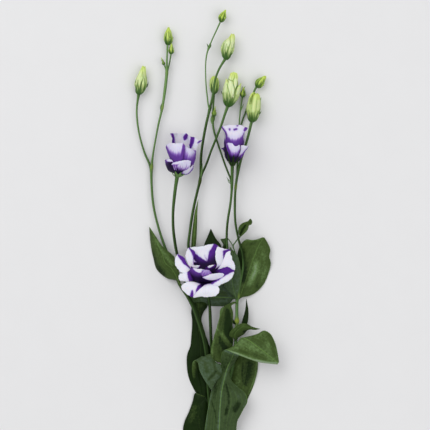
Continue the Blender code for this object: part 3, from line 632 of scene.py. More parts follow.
# Leaves: left margin, midrib and right margin, each from the base to the tip.
LEAVES = {
    "leaf_left": (
        [(-26, -43.6, 10.2), (-30.6, -36, 9.4), (-39.4, -33.7, 5), (-45, -30, 2), (-50, -25, 0.8),
         (-54, -12, 1), (-56.8, 4, 3), (-57.6, 14, 5.6), (-57.9, 18.6, 7)],
        [(-25.6, -43.2, 10.6), (-28.8, -36, 13), (-31, -31, 14), (-35.4, -23.5, 14),
         (-41.5, -18, 12.4), (-44.6, -9, 11), (-49, 0.5, 10), (-53.5, 9.5, 8.6), (-57.9, 18.6, 7)],
        [(-25.2, -42.8, 10.6), (-26.6, -36, 14), (-28.4, -25, 17.6), (-32.8, -11.6, 18.5),
         (-39.4, -5.6, 15.4), (-45, -0.5, 13.2), (-49.5, 6, 11), (-53.4, 12, 8.8),
         (-57.9, 18.6, 7)]),
    "leaf_right_large": (
        [(30.6, -54.8, 9), (31, -51, 6.4), (29.6, -38, 4.6), (28.8, -22, 4.4), (30.4, -9, 5),
         (34.5, 1.5, 6.4), (39, 5.4, 7.4), (46, 5, 7.6), (52, 6.3, 7), (57, 8.2, 6)],
        [(31, -55, 9), (33.4, -51, 5.6), (37, -41, 4.2), (42, -26, 4.6), (47, -12, 6),
         (51.5, -1, 6.6), (57, 8.2, 6)],
        [(31.4, -55.2, 9), (35, -52.6, 5), (42, -51.2, 2.6), (51, -46, 0.8), (57, -39, 0.6),
         (61.4, -29, 1.6), (63.8, -17, 3), (62.4, -12, 4), (63.4, -5, 4.6), (60.6, 2.4, 5.4),
         (57, 8.2, 6)]),
    "leaf_behind_bloom": (
        [(29.6, -52.6, 8.6), (27.6, -48.6, 5.6), (17, -36.6, 3.6), (0, -36, 1.2), (-9, -42.5, 1),
         (-16.6, -49, 1.2)],
        [(29.7, -53.4, 8.6), (26.6, -53, 5.4), (14, -52.4, 4), (0, -51.6, 2.6), (-8, -51, 1.8),
         (-16.6, -49, 1.2)],
        [(29.6, -54.2, 8.4), (26.6, -54.4, 5.2), (21, -60, 3), (8, -61.3, 1), (-3, -60.6, 0.8),
         (-11.5, -59.4, 1), (-16, -54.6, 1), (-16.6, -49, 1.2)]),
    "leaf_dark_tip": (
        [(-1.7, -44, 5.6), (-1, -36, 8), (-2.6, -12, 8), (-3, -0.6, 7.4), (0.8, 9, 7),
         (3.8, 16.7, 6.6)],
        [(-1.3, -44.6, 5.6), (2.6, -36, 9), (5.4, -12, 9), (6, 0, 8), (5, 9, 7.2),
         (3.8, 16.7, 6.6)],
        [(-0.8, -44.8, 5.6), (6.4, -36, 8.8), (13, -12, 8.6), (14.3, -1.3, 7.8), (8.4, 7.4, 7),
         (3.8, 16.7, 6.6)]),
    "leaf_narrow": (
        [(-16.2, -13.2, 5.4), (-15.8, -5, 7.8), (-15.4, 6, 8.2), (-14, 20, 9.4), (-12.2, 33, 10.4),
         (-8.6, 46.6, 11)],
        [(-15.8, -13.8, 5.6), (-13.8, -5, 8.4), (-13.2, 6, 9), (-12, 20, 10), (-10.9, 33, 10.6),
         (-8.6, 46.6, 11)],
        [(-15.3, -13.6, 5.4), (-12, -5, 8), (-11, 2, 8.4), (-9.9, 20, 9.6), (-9.6, 33, 10.4),
         (-8.6, 46.6, 11)]),
    "leaf_bluish": (
        [(29.2, -55.2, 10.4), (26.6, -51.6, 13), (17.4, -41, 14), (16, -24, 14), (18, -12, 14),
         (21.6, -6, 14), (23.4, -1.4, 14)],
        [(29.9, -55.4, 10.4), (28.6, -51.4, 13.8), (25.4, -36, 15.4), (25.4, -22, 15.8),
         (26, -12, 15), (25, -6, 14.4), (23.4, -1.4, 14)],
        [(30.7, -55.2, 10.4), (30.6, -51.2, 13.6), (33.2, -38, 14.8), (33.4, -24, 15),
         (32.2, -16, 14.8), (30.4, -10.6, 14.6), (27.6, -7, 14.4), (25.2, -4.4, 14.2),
         (23.4, -1.4, 14)]),
    "leaf_lower_left": (
        [(2, -164, 6.4), (-1, -160, 1.8), (-5, -153, 1), (-11.4, -147.4, 0.8), (-14.9, -141.2, 0.8),
         (-18.3, -132.9, 0.8), (-20.2, -120.5, 0.8), (-19.8, -110, 1), (-16.7, -101.4, 1.2),
         (-15.7, -91.5, 1.3), (-14.9, -75, 1.6), (-15.7, -65, 2.2), (-13, -58.6, 2.4),
         (-8, -56.6, 2.4)],
        [(2.6, -164.6, 6.4), (0, -160, 2.2), (-3.4, -146, 2), (-6.4, -130, 2.6), (-6.6, -109, 3.2),
         (-7.6, -92, 3.4), (-9, -80, 3.4), (-9, -66, 3), (-8, -56.6, 2.4)],
        [(3.2, -164, 6.4), (1.4, -160, 2), (2.4, -146, 1.8), (2.6, -130, 2), (3.4, -105, 2.2),
         (0.6, -95.6, 2.2), (-3, -87.3, 2.4), (-5.4, -78.2, 2.4), (-5.4, -72.8, 2.4),
         (-3, -66.6, 2.2), (0.4, -61, 2.2), (-3, -57.4, 2.2), (-8, -56.6, 2.4)]),
    "leaf_hooded": (
        [(1, -158.4, 6.6), (-5.6, -152, 4.4), (-10, -144, 4.4), (-13.6, -135, 5), (-15, -124, 7.4),
         (-13.9, -116.6, 11.4), (-11.4, -115.4, 15), (-9.2, -117.6, 17), (-7.5, -124.6, 17.8),
         (-2.1, -135.4, 18.2), (2.4, -142, 17.8), (5, -146, 17.4)],
        [(1.5, -158.8, 6.8), (-3.4, -152, 4.4), (-6, -138, 4.4), (-8.2, -126, 6.4),
         (-8.6, -115.4, 11), (-4.4, -111.6, 16), (0.4, -118, 19), (3.8, -130, 19.4),
         (5, -146, 17.4)],
        [(2.1, -158.4, 6.6), (0, -152, 4), (1.4, -140, 4), (-1.6, -129, 4.4), (-4.2, -120, 8),
         (-2.6, -111.4, 13), (3.4, -109.2, 15.8), (6, -113.4, 16.4), (10, -117.8, 16.4),
         (15.4, -120.6, 16), (16.4, -127.6, 16), (13.6, -131.6, 16.4), (9, -136.6, 17),
         (5, -146, 17.4)]),
    "leaf_middle": (
        [(29.4, -58, 10.4), (27.6, -56.6, 13.2), (20, -59.6, 14.6), (13.6, -64, 15),
         (12.4, -72, 14.6), (10, -81, 14), (7.4, -90, 13.4), (5, -99, 13.2), (3.8, -106, 13.4),
         (4.4, -113.4, 14), (9.6, -116.6, 14.2), (18.4, -118.6, 14)],
        [(29.7, -58.6, 10.4), (27.8, -57.4, 13), (21, -64, 13.6), (18, -75, 13), (15.4, -88, 12.6),
         (13.8, -101, 12.6), (15, -112, 13.2), (18.4, -118.6, 14)],
        [(29.9, -59.4, 10.4), (28, -58.6, 12.8), (24.4, -60.6, 12.6), (25.8, -66, 12.8),
         (25.6, -80, 12.8), (26.2, -92, 12.8), (24.6, -106, 13), (18.4, -118.6, 14)]),
    "leaf_long_arching": (
        [(12.2, -214.6, 5.6), (8, -209, 10.2), (0.4, -198, 12), (-2.2, -188, 13), (-0.9, -175, 14),
         (1.6, -160, 14.6), (4.4, -146, 13), (9.8, -135.6, 14.6), (14.6, -128, 16),
         (14.4, -121, 17.4), (13.6, -114, 19.6), (17.6, -104.6, 23.6), (25.4, -107.4, 27.4),
         (32.5, -110, 28.2), (42, -113.6, 27.4), (52, -116.8, 25), (62, -118.4, 21.6),
         (72.3, -119.4, 17)],
        [(12.9, -215.4, 5.8), (10.6, -210, 11), (11.4, -195, 15), (12.5, -178, 17.6),
         (13, -164, 18.8), (14.4, -148, 19.6), (17, -135, 20.4), (20.4, -122, 21),
         (25.6, -111, 21.6), (30.4, -98.6, 23), (34.6, -92.6, 26), (41.4, -94.8, 28.6),
         (48.8, -100.2, 28), (56.8, -106.2, 25), (65, -112.8, 21.6), (72.3, -119.4, 17)],
        [(13.6, -214.6, 5.6), (15, -209, 10.2), (22, -200, 11.6), (28.8, -188, 12.4),
         (30.4, -176, 13.4), (36, -165, 13.6), (40.4, -156, 13.4), (38, -147.6, 13.4),
         (31, -142, 14), (24.4, -135, 15.4), (22.6, -127, 16.6), (28, -117, 17), (34.6, -105, 18),
         (40, -94.6, 20.6), (44.6, -90.6, 23.6), (51, -88.2, 25), (56.8, -85.2, 24),
         (62, -87.4, 22.4), (67.4, -96, 20.4), (70.4, -107, 18.4), (72.3, -119.4, 17)]),
    "leaf_curled": (
        [(28, -96.6, 9.6), (26.4, -93.4, 13.6), (22.4, -91, 15.4), (23, -87, 17.6),
         (28.4, -81.4, 20), (33.6, -78.4, 20.6), (39.6, -78.6, 19.8), (45, -81.4, 18.4),
         (53.4, -83.8, 17)],
        [(28.6, -97.2, 9.6), (28.2, -93.2, 13.2), (28, -88.4, 15.8), (31.6, -84, 18.4),
         (36.4, -81.4, 19.4), (41, -81.8, 18.6), (46, -83.4, 17.6), (53.4, -83.8, 17)],
        [(29.3, -96.8, 9.6), (30.4, -93.2, 12.6), (33.4, -91.4, 12.8), (37.4, -88.8, 13.8),
         (40, -85.6, 15.4), (43, -84.4, 16.4), (47.4, -84.8, 16.6), (53.4, -83.8, 17)]),
    "leaf_spike": (
        [(29.6, -91.6, 8.6), (33.8, -81, 6.4), (35.4, -75, 6.8), (38, -66, 7.4),
         (39.4, -53.5, 7.6)],
        [(29.9, -92.4, 8.6), (37, -81, 6.6), (38.4, -75, 7.6), (39.4, -66, 8), (39.4, -53.5, 7.6)],
        [(30.4, -92.8, 8.6), (39.6, -81, 6.4), (41.2, -75, 6.8), (41.4, -65, 7.4),
         (39.4, -53.5, 7.6)]),
    "leaf_lower_right": (
        [(11.4, -198.4, 5.4), (17.5, -188, 3), (19.4, -170, 2.4), (21, -150, 2.4), (24.4, -132, 3),
         (29.6, -114, 3.4), (36, -104, 3.4), (43, -97, 3)],
        [(11.8, -199.2, 5.4), (18.8, -188.4, 3.2), (27, -172, 3), (34, -152, 3.6),
         (38.4, -132, 4.4), (41.6, -113, 4.4), (43, -97, 3)],
        [(12.4, -200, 5.2), (20.4, -188.8, 2.6), (31.5, -174, 1.4), (40.6, -155, 0.8),
         (47.6, -138, 1), (51, -122, 1.4), (49.6, -108, 2), (43, -97, 3)]),
    "leaf_lower_back": (
        [(10.6, -217.4, 4.2), (5.4, -214, 4), (-6, -207, 1.6), (-17, -197, 0.8), (-24, -186, 0.8),
         (-22.6, -177.6, 1), (-18, -167, 1.4), (-14.4, -157, 1.8), (-11.4, -148.2, 3),
         (-6.4, -149.8, 4.4), (-1.4, -152, 4.6)],
        [(11.2, -218.2, 4.2), (6.2, -214.2, 4.6), (0, -202, 3.6), (-5.6, -188, 3.6),
         (-8.4, -174, 4), (-7.4, -162, 4.8), (-1.4, -152, 4.6)],
        [(11.8, -219.2, 4.2), (8, -214, 4), (7, -203, 2.4), (6, -188, 3), (3.4, -174, 3.6),
         (1, -162, 3.8), (-1.4, -152, 4.6)]),
    "leaf_small_shoot": (
        [(19.3, 6.8, 7.1), (16.6, 6.3, 7.4), (13.6, 5.8, 7.2), (15.1, 2.7, 7.2), (16.3, 0.2, 7),
         (15.4, -2, 7), (15.6, -4.6, 7), (18.2, -8.6, 7)],
        [(19.5, 6.5, 7.1), (18, 4.4, 7.6), (17.7, 0, 7.6), (18.2, -8.6, 7)],
        [(19.8, 6.2, 7.1), (20.4, 3, 7.2), (20.6, -1, 7), (20.4, -5, 7), (18.2, -8.6, 7)]),
    "leaf_young": (
        [(32.8, 7.6, 6.9), (32.2, 9.2, 7.6), (31.4, 11.6, 8.6), (31, 14.5, 9.4), (31.4, 16.8, 10),
         (32.7, 19.4, 10.8), (35.3, 21.8, 11.6), (38.5, 23.1, 12), (41, 24, 12), (43.4, 26.2, 12),
         (45, 24.4, 12), (45.2, 22, 11.8), (43.9, 20, 11.4)],
        [(33, 7.8, 6.9), (34.2, 11, 7.6), (36, 15, 8.8), (38.6, 18.6, 9.8), (41.4, 21.4, 10.6),
         (43.4, 22.2, 11), (43.9, 20, 11.4)],
        [(33.2, 7.9, 6.9), (35.4, 9.6, 8), (37.2, 11.3, 8.6), (39.5, 13.6, 9.4), (41.2, 16.4, 10),
         (41.9, 19, 10.6), (42.8, 20, 11), (43.9, 20, 11.4)]),
}

# Each leaf's tones from base to tip (dark 0 to light 1), waves along the margin, their height,
# the face that lies upwards (0 for the leaf's upper side, 1 for its grey-green underside) and
# how clearly its veins show.
# The tones are partly painted shade: low where a leaf lies in shade, as on the hooded leaf's inner
# side and on the lower leaves.
LEAF_LOOKS = {
    "leaf_left": ((0.42, 0.54, 0.56, 0.5), 3.0, 0.5, 0, 0.8),
    "leaf_right_large": ((0.46, 0.52, 0.44), 2.5, 0.8, 0, 0.7),
    "leaf_behind_bloom": ((0.76, 0.68, 0.56), 2.0, 0.4, 0, 1.0),
    "leaf_dark_tip": ((-0.2, -0.1), 1.0, 0.2, 0, 0.3),
    "leaf_narrow": ((0.2, 0.5, 0.45), 1.0, 0.1, 0, 1.0),
    "leaf_bluish": ((0.74, 0.66, 0.6), 2.0, 0.5, 1, 0.5),
    "leaf_lower_left": ((-0.3, -0.25, -0.2, -0.06, 0.1), 2.5, 0.4, 0, 0.8),
    "leaf_hooded": ((-0.2, -0.2, -0.1, 0.3, 0.7, 0.74, 0.66), 2.0, 0.4, 0, 0.0),
    "leaf_middle": ((0.46, 0.36, 0.3, 0.3), 2.0, 0.4, 1, 0.6),
    "leaf_long_arching": ((0.34, 0.42, 0.46, 0.4, 0.3, 0.6, 0.72, 0.72), 2.5, 0.5, 1, 1.0),
    "leaf_curled": ((0.3, 0.5, 0.4), 1.0, 0.2, 0, 0.7),
    "leaf_spike": ((-0.1, 0.0), 1.0, 0.1, 0, 0.3),
    "leaf_lower_right": ((0.3, 0.4, 0.42, 0.4), 2.5, 0.6, 0, 0.5),
    "leaf_lower_back": ((-0.1, -0.06, 0.04), 2.0, 0.4, 0, 0.4),
    "leaf_young": ((0.4, 0.5, 0.45), 1.0, 0.15, 0, 0.6),
    "leaf_small_shoot": ((0.3, 0.2), 1.0, 0.1, 0, 0.5),
}
# Lighter and darker strokes on the blades: pale margins and veins, painted sheen and highlights
# on the bulges, and painted shade in folds and next to the stems. Each is a change of tone,
# softness of the edge, and the stroke as x, y and half width along it.
LEAF_STROKES_AND_PAINTED_LIGHT = {
    "leaf_young": [
        (-0.6, 1.6, [(33.6, 10.6, 0.2), (35.6, 15.6, 0.8), (38.4, 19.6, 0.3)]),
        (0.3, 1.2, [(31.8, 12, 0.2), (31.8, 16.4, 0.3)]),
        (0.2, 1.0, [(35, 10.2, 0.2), (38.8, 14, 0.4), (40.6, 17.6, 0.3)])],
    "leaf_small_shoot": [
        (-0.4, 1.6, [(16, -1, 0.5), (18.6, -3.6, 1)]),
        (0.3, 1.2, [(14.6, 5.2, 0.2), (17.6, 2.4, 0.4)])],
    "leaf_left": [
        (-0.4, 4.0, [(-54.5, -6, 0.6), (-52, -18, 1), (-44, -30, 1.6)]),
        (0.2, 5.0, [(-53, 8, 0.4), (-45, -6, 0.8), (-37, -18, 0.8)]),
        (-0.3, 3.0, [(-46, 0.4, 0.4), (-39, -6, 0.6), (-33, -14, 0.8)]),
        (-0.2, 1.2, [(-50, -1, 0.3), (-43.5, -12, 0.5), (-36, -24, 0.5)])],
    "leaf_right_large": [
        (0.42, 6.0, [(49.6, -18, 0.5), (48.6, -27, 1.2), (43, -38, 0.4)]),
        (0.2, 2.0, [(48.6, -20, 0.3), (48, -27, 0.5), (45.4, -33, 0.3)]),
        (0.2, 5.0, [(57, -10, 0.5), (58, -24, 0.8), (53, -37, 0.5)]),
        (-0.7, 6.0, [(34, -8, 1.5), (34, -20, 2), (34, -34, 1.5)]),
        (-0.26, 3.0, [(43, -10, 0.5), (40, -22, 0.8), (37.5, -38, 0.5)]),
        (-0.3, 4.0, [(52, -30, 0.5), (50, -42, 0.8)]),
        (-0.2, 3.0, [(48, 2, 0.5), (40, 0, 0.5)]),
        (0.18, 1.2, [(40, 4.4, 0.5), (46, 4.2, 0.6), (55, 6.6, 0.5)])],
    "leaf_behind_bloom": [
        (0.2, 1.2, [(20, -56, 0.6), (8, -57, 0.8), (-6, -54, 0.5)]),
        (-0.25, 2.0, [(18, -49, 1.5), (2, -47, 2)])],
    "leaf_middle": [
        (0.34, 1.0,
         [(15.4, -62.4, 1.2), (12.2, -70.7, 1.4), (9.6, -83.2, 1.1), (7, -93.9, 0.9),
          (5.3, -103, 0.9), (5, -113, 0.9)]),
        (-0.5, 3.0, [(20.6, -65, 0.8), (21, -78, 2.4), (20.4, -88, 2), (24, -97, 0.8)]),
        (0.30, 0.7, [(9.6, -82.6, 0.3), (13, -87, 1.2), (17, -91.6, 1.5), (23.4, -98.9, 0.5)]),
        (-0.34, 1.6, [(12.4, -92, 0.8), (14.4, -98, 1.8), (18.6, -104, 2)]),
        (0.14, 1.2, [(6.2, -113.4, 0.6), (18.4, -117.8, 0.8)])],
    "leaf_long_arching": [
        (0.34, 0.8,
         [(22.4, -119.6, 0.9), (18.6, -128.8, 1.1), (14.7, -141.2, 1), (13, -166, 0.9),
          (11.2, -185, 0.8)]),
        (0.3, 0.8, [(6.4, -142.6, 0.6), (3.2, -153.7, 0.6), (0.4, -168, 0.6), (-1.4, -185, 0.6)]),
        (-0.44, 2.4, [(31, -158.6, 1.8), (28.6, -162.6, 2.2), (27.8, -165.4, 1.4)]),
        (-0.5, 0.9, [(19.8, -164, 0.6), (18.6, -168.6, 1.2)]),
        (-0.34, 1.0, [(19, -139, 0.4), (21.2, -149, 0.6), (21.4, -158, 0.6), (19.4, -165, 0.5)]),
        (-0.28, 0.9, [(4.6, -156, 0.3), (8.4, -168, 0.6), (9.6, -178, 0.3)]),
        (-0.2, 1.2, [(9, -141, 0.8), (7.4, -152, 1.2)]),
        (0.2, 0.8, [(24, -137.4, 0.4), (34, -144.6, 0.6), (39.4, -152, 0.5), (37, -162, 0.4)]),
        (0.16, 2.0, [(26, -146, 2), (33, -152, 2)]),
        (0.6, 1.2,
         [(18.6, -105.4, 1), (31, -109.2, 1.5), (44.3, -114.8, 1.4), (60, -117.8, 1),
          (70.8, -118, 0.6)]),
        (0.12, 5.0, [(26, -103, 0.6), (36, -97.4, 1), (50, -104, 0.8)]),
        (-0.24, 3.0, [(61, -90, 0.8), (66, -100, 1), (67, -110, 0.8)]),
        (-0.2, 2.4, [(33, -105, 0.4), (44, -108.4, 0.6), (56, -111, 0.5)]),
        (-0.2, 3.0, [(46, -94, 0.6), (54, -97, 0.8)]),
        (-0.14, 1.5, [(47, -110, 1), (58, -113.6, 1)])],
    "leaf_lower_right": [
        (0.24, 4.0, [(31.4, -120, 1), (29.6, -133, 1.2), (30.4, -143, 0.6)]),
        (0.2, 1.6, [(33, -136, 0.4), (39, -144.6, 0.5)]),
        (-0.36, 5.0, [(42.6, -119, 1.2), (41.4, -131, 1.6), (37.6, -140, 0.8)]),
        (-0.24, 1.2, [(36, -118, 0.3), (35, -128, 0.4), (36, -137, 0.3)]),
        (0.34, 0.9, [(49.8, -117, 0.7), (48.8, -130, 0.8), (45.8, -140, 0.8), (41.4, -149, 0.7)])],
    "leaf_hooded": [
        (0.42, 2.6, [(-13, -116.4, 0.6), (-14, -124, 1.2), (-13, -132, 0.5)]),
        (0.12, 0.9, [(-7.3, -124.2, 0.4), (-2, -135, 0.6), (4.2, -143.4, 0.5)]),
        (-0.5, 1.6, [(1.6, -134, 0.4), (5.6, -130, 1.2), (8.4, -126.4, 0.6)]),
        (-0.34, 1.4, [(6.6, -116, 0.3), (8, -124, 0.5), (12.6, -129, 0.9)]),
        (-0.3, 2.0, [(-2, -118, 0.4), (0, -126, 0.6)])],
    "leaf_lower_left": [
        (0.2, 3.0, [(-8, -60, 1.4), (-8.6, -74, 1)]),
        (0.24, 0.7, [(-12.9, -66.6, 0.25), (-9, -82, 0.3), (-4.4, -98, 0.3), (-1.3, -108, 0.3)])],
    "leaf_lower_back": [
        (0.3, 0.7, [(-11, -148.8, 0.4), (-6.3, -150.4, 0.5), (-1.6, -151.8, 0.5)]),
        (-0.2, 3.0, [(-2.6, -157, 2), (-2.4, -180, 2.4)]),
        (0.2, 4.0, [(-13, -163, 1), (-16, -176, 1)])],
    "leaf_curled": [
        (-0.5, 1.2, [(36.8, -86.4, 0.8), (39, -86.6, 1.4), (38.4, -89.4, 1)]),
        (0.16, 0.9, [(24.6, -88, 0.6), (30, -82.4, 0.8), (37, -79.6, 0.6)])],
}
LEAF_ROWS = 96
LONG_LEAF_ROWS = 150
LEAF_COLUMNS = 33
LEAF_THICKNESS = 0.45
LEAF_TRIM = 0.012
# Height of the bow between rib and margin, the half width at which it is full, how much the
# margin is thinner, where its waves start, and the midrib's width and rise on each face.
BOW, FULL_BOW_WIDTH = 0.9, 10
MARGIN_THINNING = 0.28
LEFT_WAVE, RIGHT_WAVE = 0.8, 2.6
RIB_WIDTH, RIB_SINK, RIB_RISE = 0.8, 0.12, 0.7
# How far inside a stroke's edge it reaches its full strength, in softnesses.
STROKE_INSIDE = 0.35


def tone_with_strokes_and_painted_light(places, tone, marks):
    """The tone plus each stroke's change, which fades over the softness outside its edge.

    The strokes are painted highlights, painted shade and pale lines.
    """
    for change, softness, band in marks:
        depth = band_depth(places, band)
        tone = tone + change * smooth_step(-softness, softness * STROKE_INSIDE, depth)
    return tone


def leaf_body(margins, looks, rows, marks):
    """The blade between its margins: place = rib (1 - |v|) + margin |v|, bowed up between.

    The bow is bow * 4 |v| (1 - |v|), the margin waves by a sine of the length times v^2, and the
    lower face stands out along the midrib by exp(-(distance / rib width)^2).
    """
    tones, waves, height, upward, clarity = looks
    u = np.linspace(LEAF_TRIM, 1 - LEAF_TRIM, rows)
    v = np.linspace(-1, 1, LEAF_COLUMNS)
    left, middle, right = (curve_through(points, u)[:, None] for points in margins)
    share = np.abs(v)[None, :, None]
    edge = np.where(v[None, :, None] < 0, left, right)
    places = middle * (1 - share) + edge * share
    width = np.linalg.norm(edge - middle, axis=2)
    share = share[..., 0]
    bow = 4 * BOW * share * (1 - share) * np.clip(width / FULL_BOW_WIDTH, 0, 1)
    start = np.where(v < 0, LEFT_WAVE, RIGHT_WAVE)[None, :]
    sway = np.sin(2 * math.pi * waves * u[:, None] + start)
    places[..., 2] += bow + height * sway * share**2 * np.sin(math.pi * u)[:, None]
    reach = width * share
    rib = np.exp(-((reach / RIB_WIDTH) ** 2)) * (1 - u[:, None]) ** 0.5
    thin = LEAF_THICKNESS * (0.5 - MARGIN_THINNING * share**4)
    tone = np.interp(u, np.linspace(0, 1, len(tones)), tones)[:, None]
    # painted highlights and painted shade, with the pale lines, are added to the tone here
    tone = tone_with_strokes_and_painted_light(places, tone, marks)
    body = sheet_body(places, thin - RIB_SINK * rib, thin + RIB_RISE * rib, along=u[:, None],
                      across=v[None, :], reach=reach, tone=tone, flush=clarity)
    if upward:
        body.layers["side"] = 1 - body.layers["side"]
    return body


def make_leaves():
    """One piece for every leaf."""
    for name, margins in LEAVES.items():
        rows = LONG_LEAF_ROWS if name == "leaf_long_arching" else LEAF_ROWS
        body = leaf_body(margins, LEAF_LOOKS[name], rows, LEAF_STROKES_AND_PAINTED_LIGHT.get(name, []))
        make_piece(name, [body], LEAF, [] if name in OWN_PIECES else [name])


# ---------------------------------------------------------------- buds

# Buds: stations x, y and half width from the base to the tip, height of the axis, number of
# folded petals, turns of the folds, their depth, tone (yellow-green 0 to white-green 1), how
# far the petal tips stand out of the crown, sepals' length share and angle of the first sepal.
BUDS = {
    "bud_top": (
        [(13.4, 223, 1), (14, 224.4, 2.4), (15.2, 228, 3.6), (16.6, 231, 2.7), (17.6, 233, 1.5),
         (18.6, 235.2, 0.5)], 8, 5, 0.35, 0.16, 0.05, 0.4, 0.6, 0.6),
    "bud_tall": (
        [(18.8, 185.2, 1.6), (19.1, 187.4, 3.6), (19.6, 191, 5.2), (20.8, 196.5, 6.5),
         (22, 201, 5.7), (23.7, 204.4, 4.1), (24.7, 206.6, 3), (25.2, 209, 2.3),
         (25.4, 210.6, 1.3)],
        9.1, 5, 0.2, 0.15, 0.66, 1.1, 0.5, -0.15),
    "bud_green": (
        [(7.1, 151.2, 1.4), (7.2, 153, 3), (7.3, 157, 4.4), (7.4, 161.6, 4.6), (7.5, 165.4, 4.1),
         (7.5, 167.6, 2.9), (7.5, 168.8, 1.4)], 5.4, 5, 0.1, 0.1, 0.35, 0.5, 0.6, 0.5),
    "bud_pale": (
        [(20.8, 138, 1.7), (21.3, 140, 4), (22.6, 146, 7), (23.8, 152, 7.4), (24.6, 158, 6.4),
         (25.6, 164, 4.9), (26.4, 168.6, 3), (26.8, 171, 1.4)],
        9.8, 6, 0.1, 0.16, 0.66, 1.2, 0.42, 0.9),
    "bud_small": (
        [(35.6, 147.8, 1), (35.7, 149, 2.1), (35.9, 151, 2.8), (36.2, 153.4, 2),
         (36.5, 155.6, 1.1), (36.8, 157.6, 0.7)], 4, 5, 0.2, 0.1, 0.1, 0.3, 0.9, 0.3),
    "bud_right": (
        [(49.4, 158, 1.4), (50.4, 159.2, 3.2), (52.4, 161.8, 4.3), (54.2, 164.2, 3.7),
         (56.2, 166.4, 2.4), (58, 168, 1.5), (58.8, 168.8, 0.7)],
        5.9, 5, 0.25, 0.16, 0.1, 0.4, 0.55, 0.2),
    "bud_yellow": (
        [(44.9, 122.6, 1.6), (45.2, 124.6, 3.8), (46, 129, 5.8), (46.7, 135, 6.4), (47, 141, 5.8),
         (47.2, 146, 4.4), (47.4, 149.4, 2.6), (47.6, 150.8, 1)],
        10.4, 6, 0.16, 0.12, 0.42, 0.6, 0.35, 0.7),
    "bud_left": (
        [(-68.2, 150.6, 1.7), (-68.1, 152.4, 3.5), (-66.9, 156, 5), (-66.2, 161, 6),
         (-65.6, 166.4, 5.1), (-64.3, 173, 3.1), (-63.5, 176.4, 2.2), (-63, 178.4, 1.5)],
        6.8, 5, 0.28, 0.15, 0.52, 1.0, 0.5, 0.1),
    "bud_upper_left": (
        [(-39.5, 200.2, 1.4), (-39, 202, 3.2), (-38.7, 205.8, 4.4), (-38.7, 210, 3.8),
         (-38.6, 213.6, 2.8), (-38.6, 216, 1.5), (-38.6, 217.6, 0.7)],
        6, 5, 0.15, 0.13, 0.15, 0.7, 0.55, 0.4),
    "bud_twin": (
        [(-35.9, 191, 1), (-35.9, 192.2, 2.2), (-35.9, 194, 2.8), (-35.7, 196.6, 2.1),
         (-35.6, 199, 1.3), (-35.5, 201.4, 0.6)], 7, 5, 0.2, 0.1, 0.1, 0.3, 0.8, 0.4),
    "bud_tiny_left": (
        [(-43, 180.2, 0.8), (-43.5, 181.6, 1.6), (-44, 183.2, 1), (-44.8, 185.4, 0.6),
         (-45.9, 187.6, 0.3)], 6.3, 4, 0.2, 0.1, 0.2, 0.2, 0.8, 0.4),
    "bud_tiny_centre": (
        [(7.4, 128.6, 0.9), (7.2, 130, 2), (7, 131.8, 2.4), (7.3, 134, 1.4), (7.9, 136.4, 0.7),
         (8.4, 138.8, 0.3)], 6.8, 4, 0.2, 0.1, 0.1, 0.2, 0.8, 0.4),
}

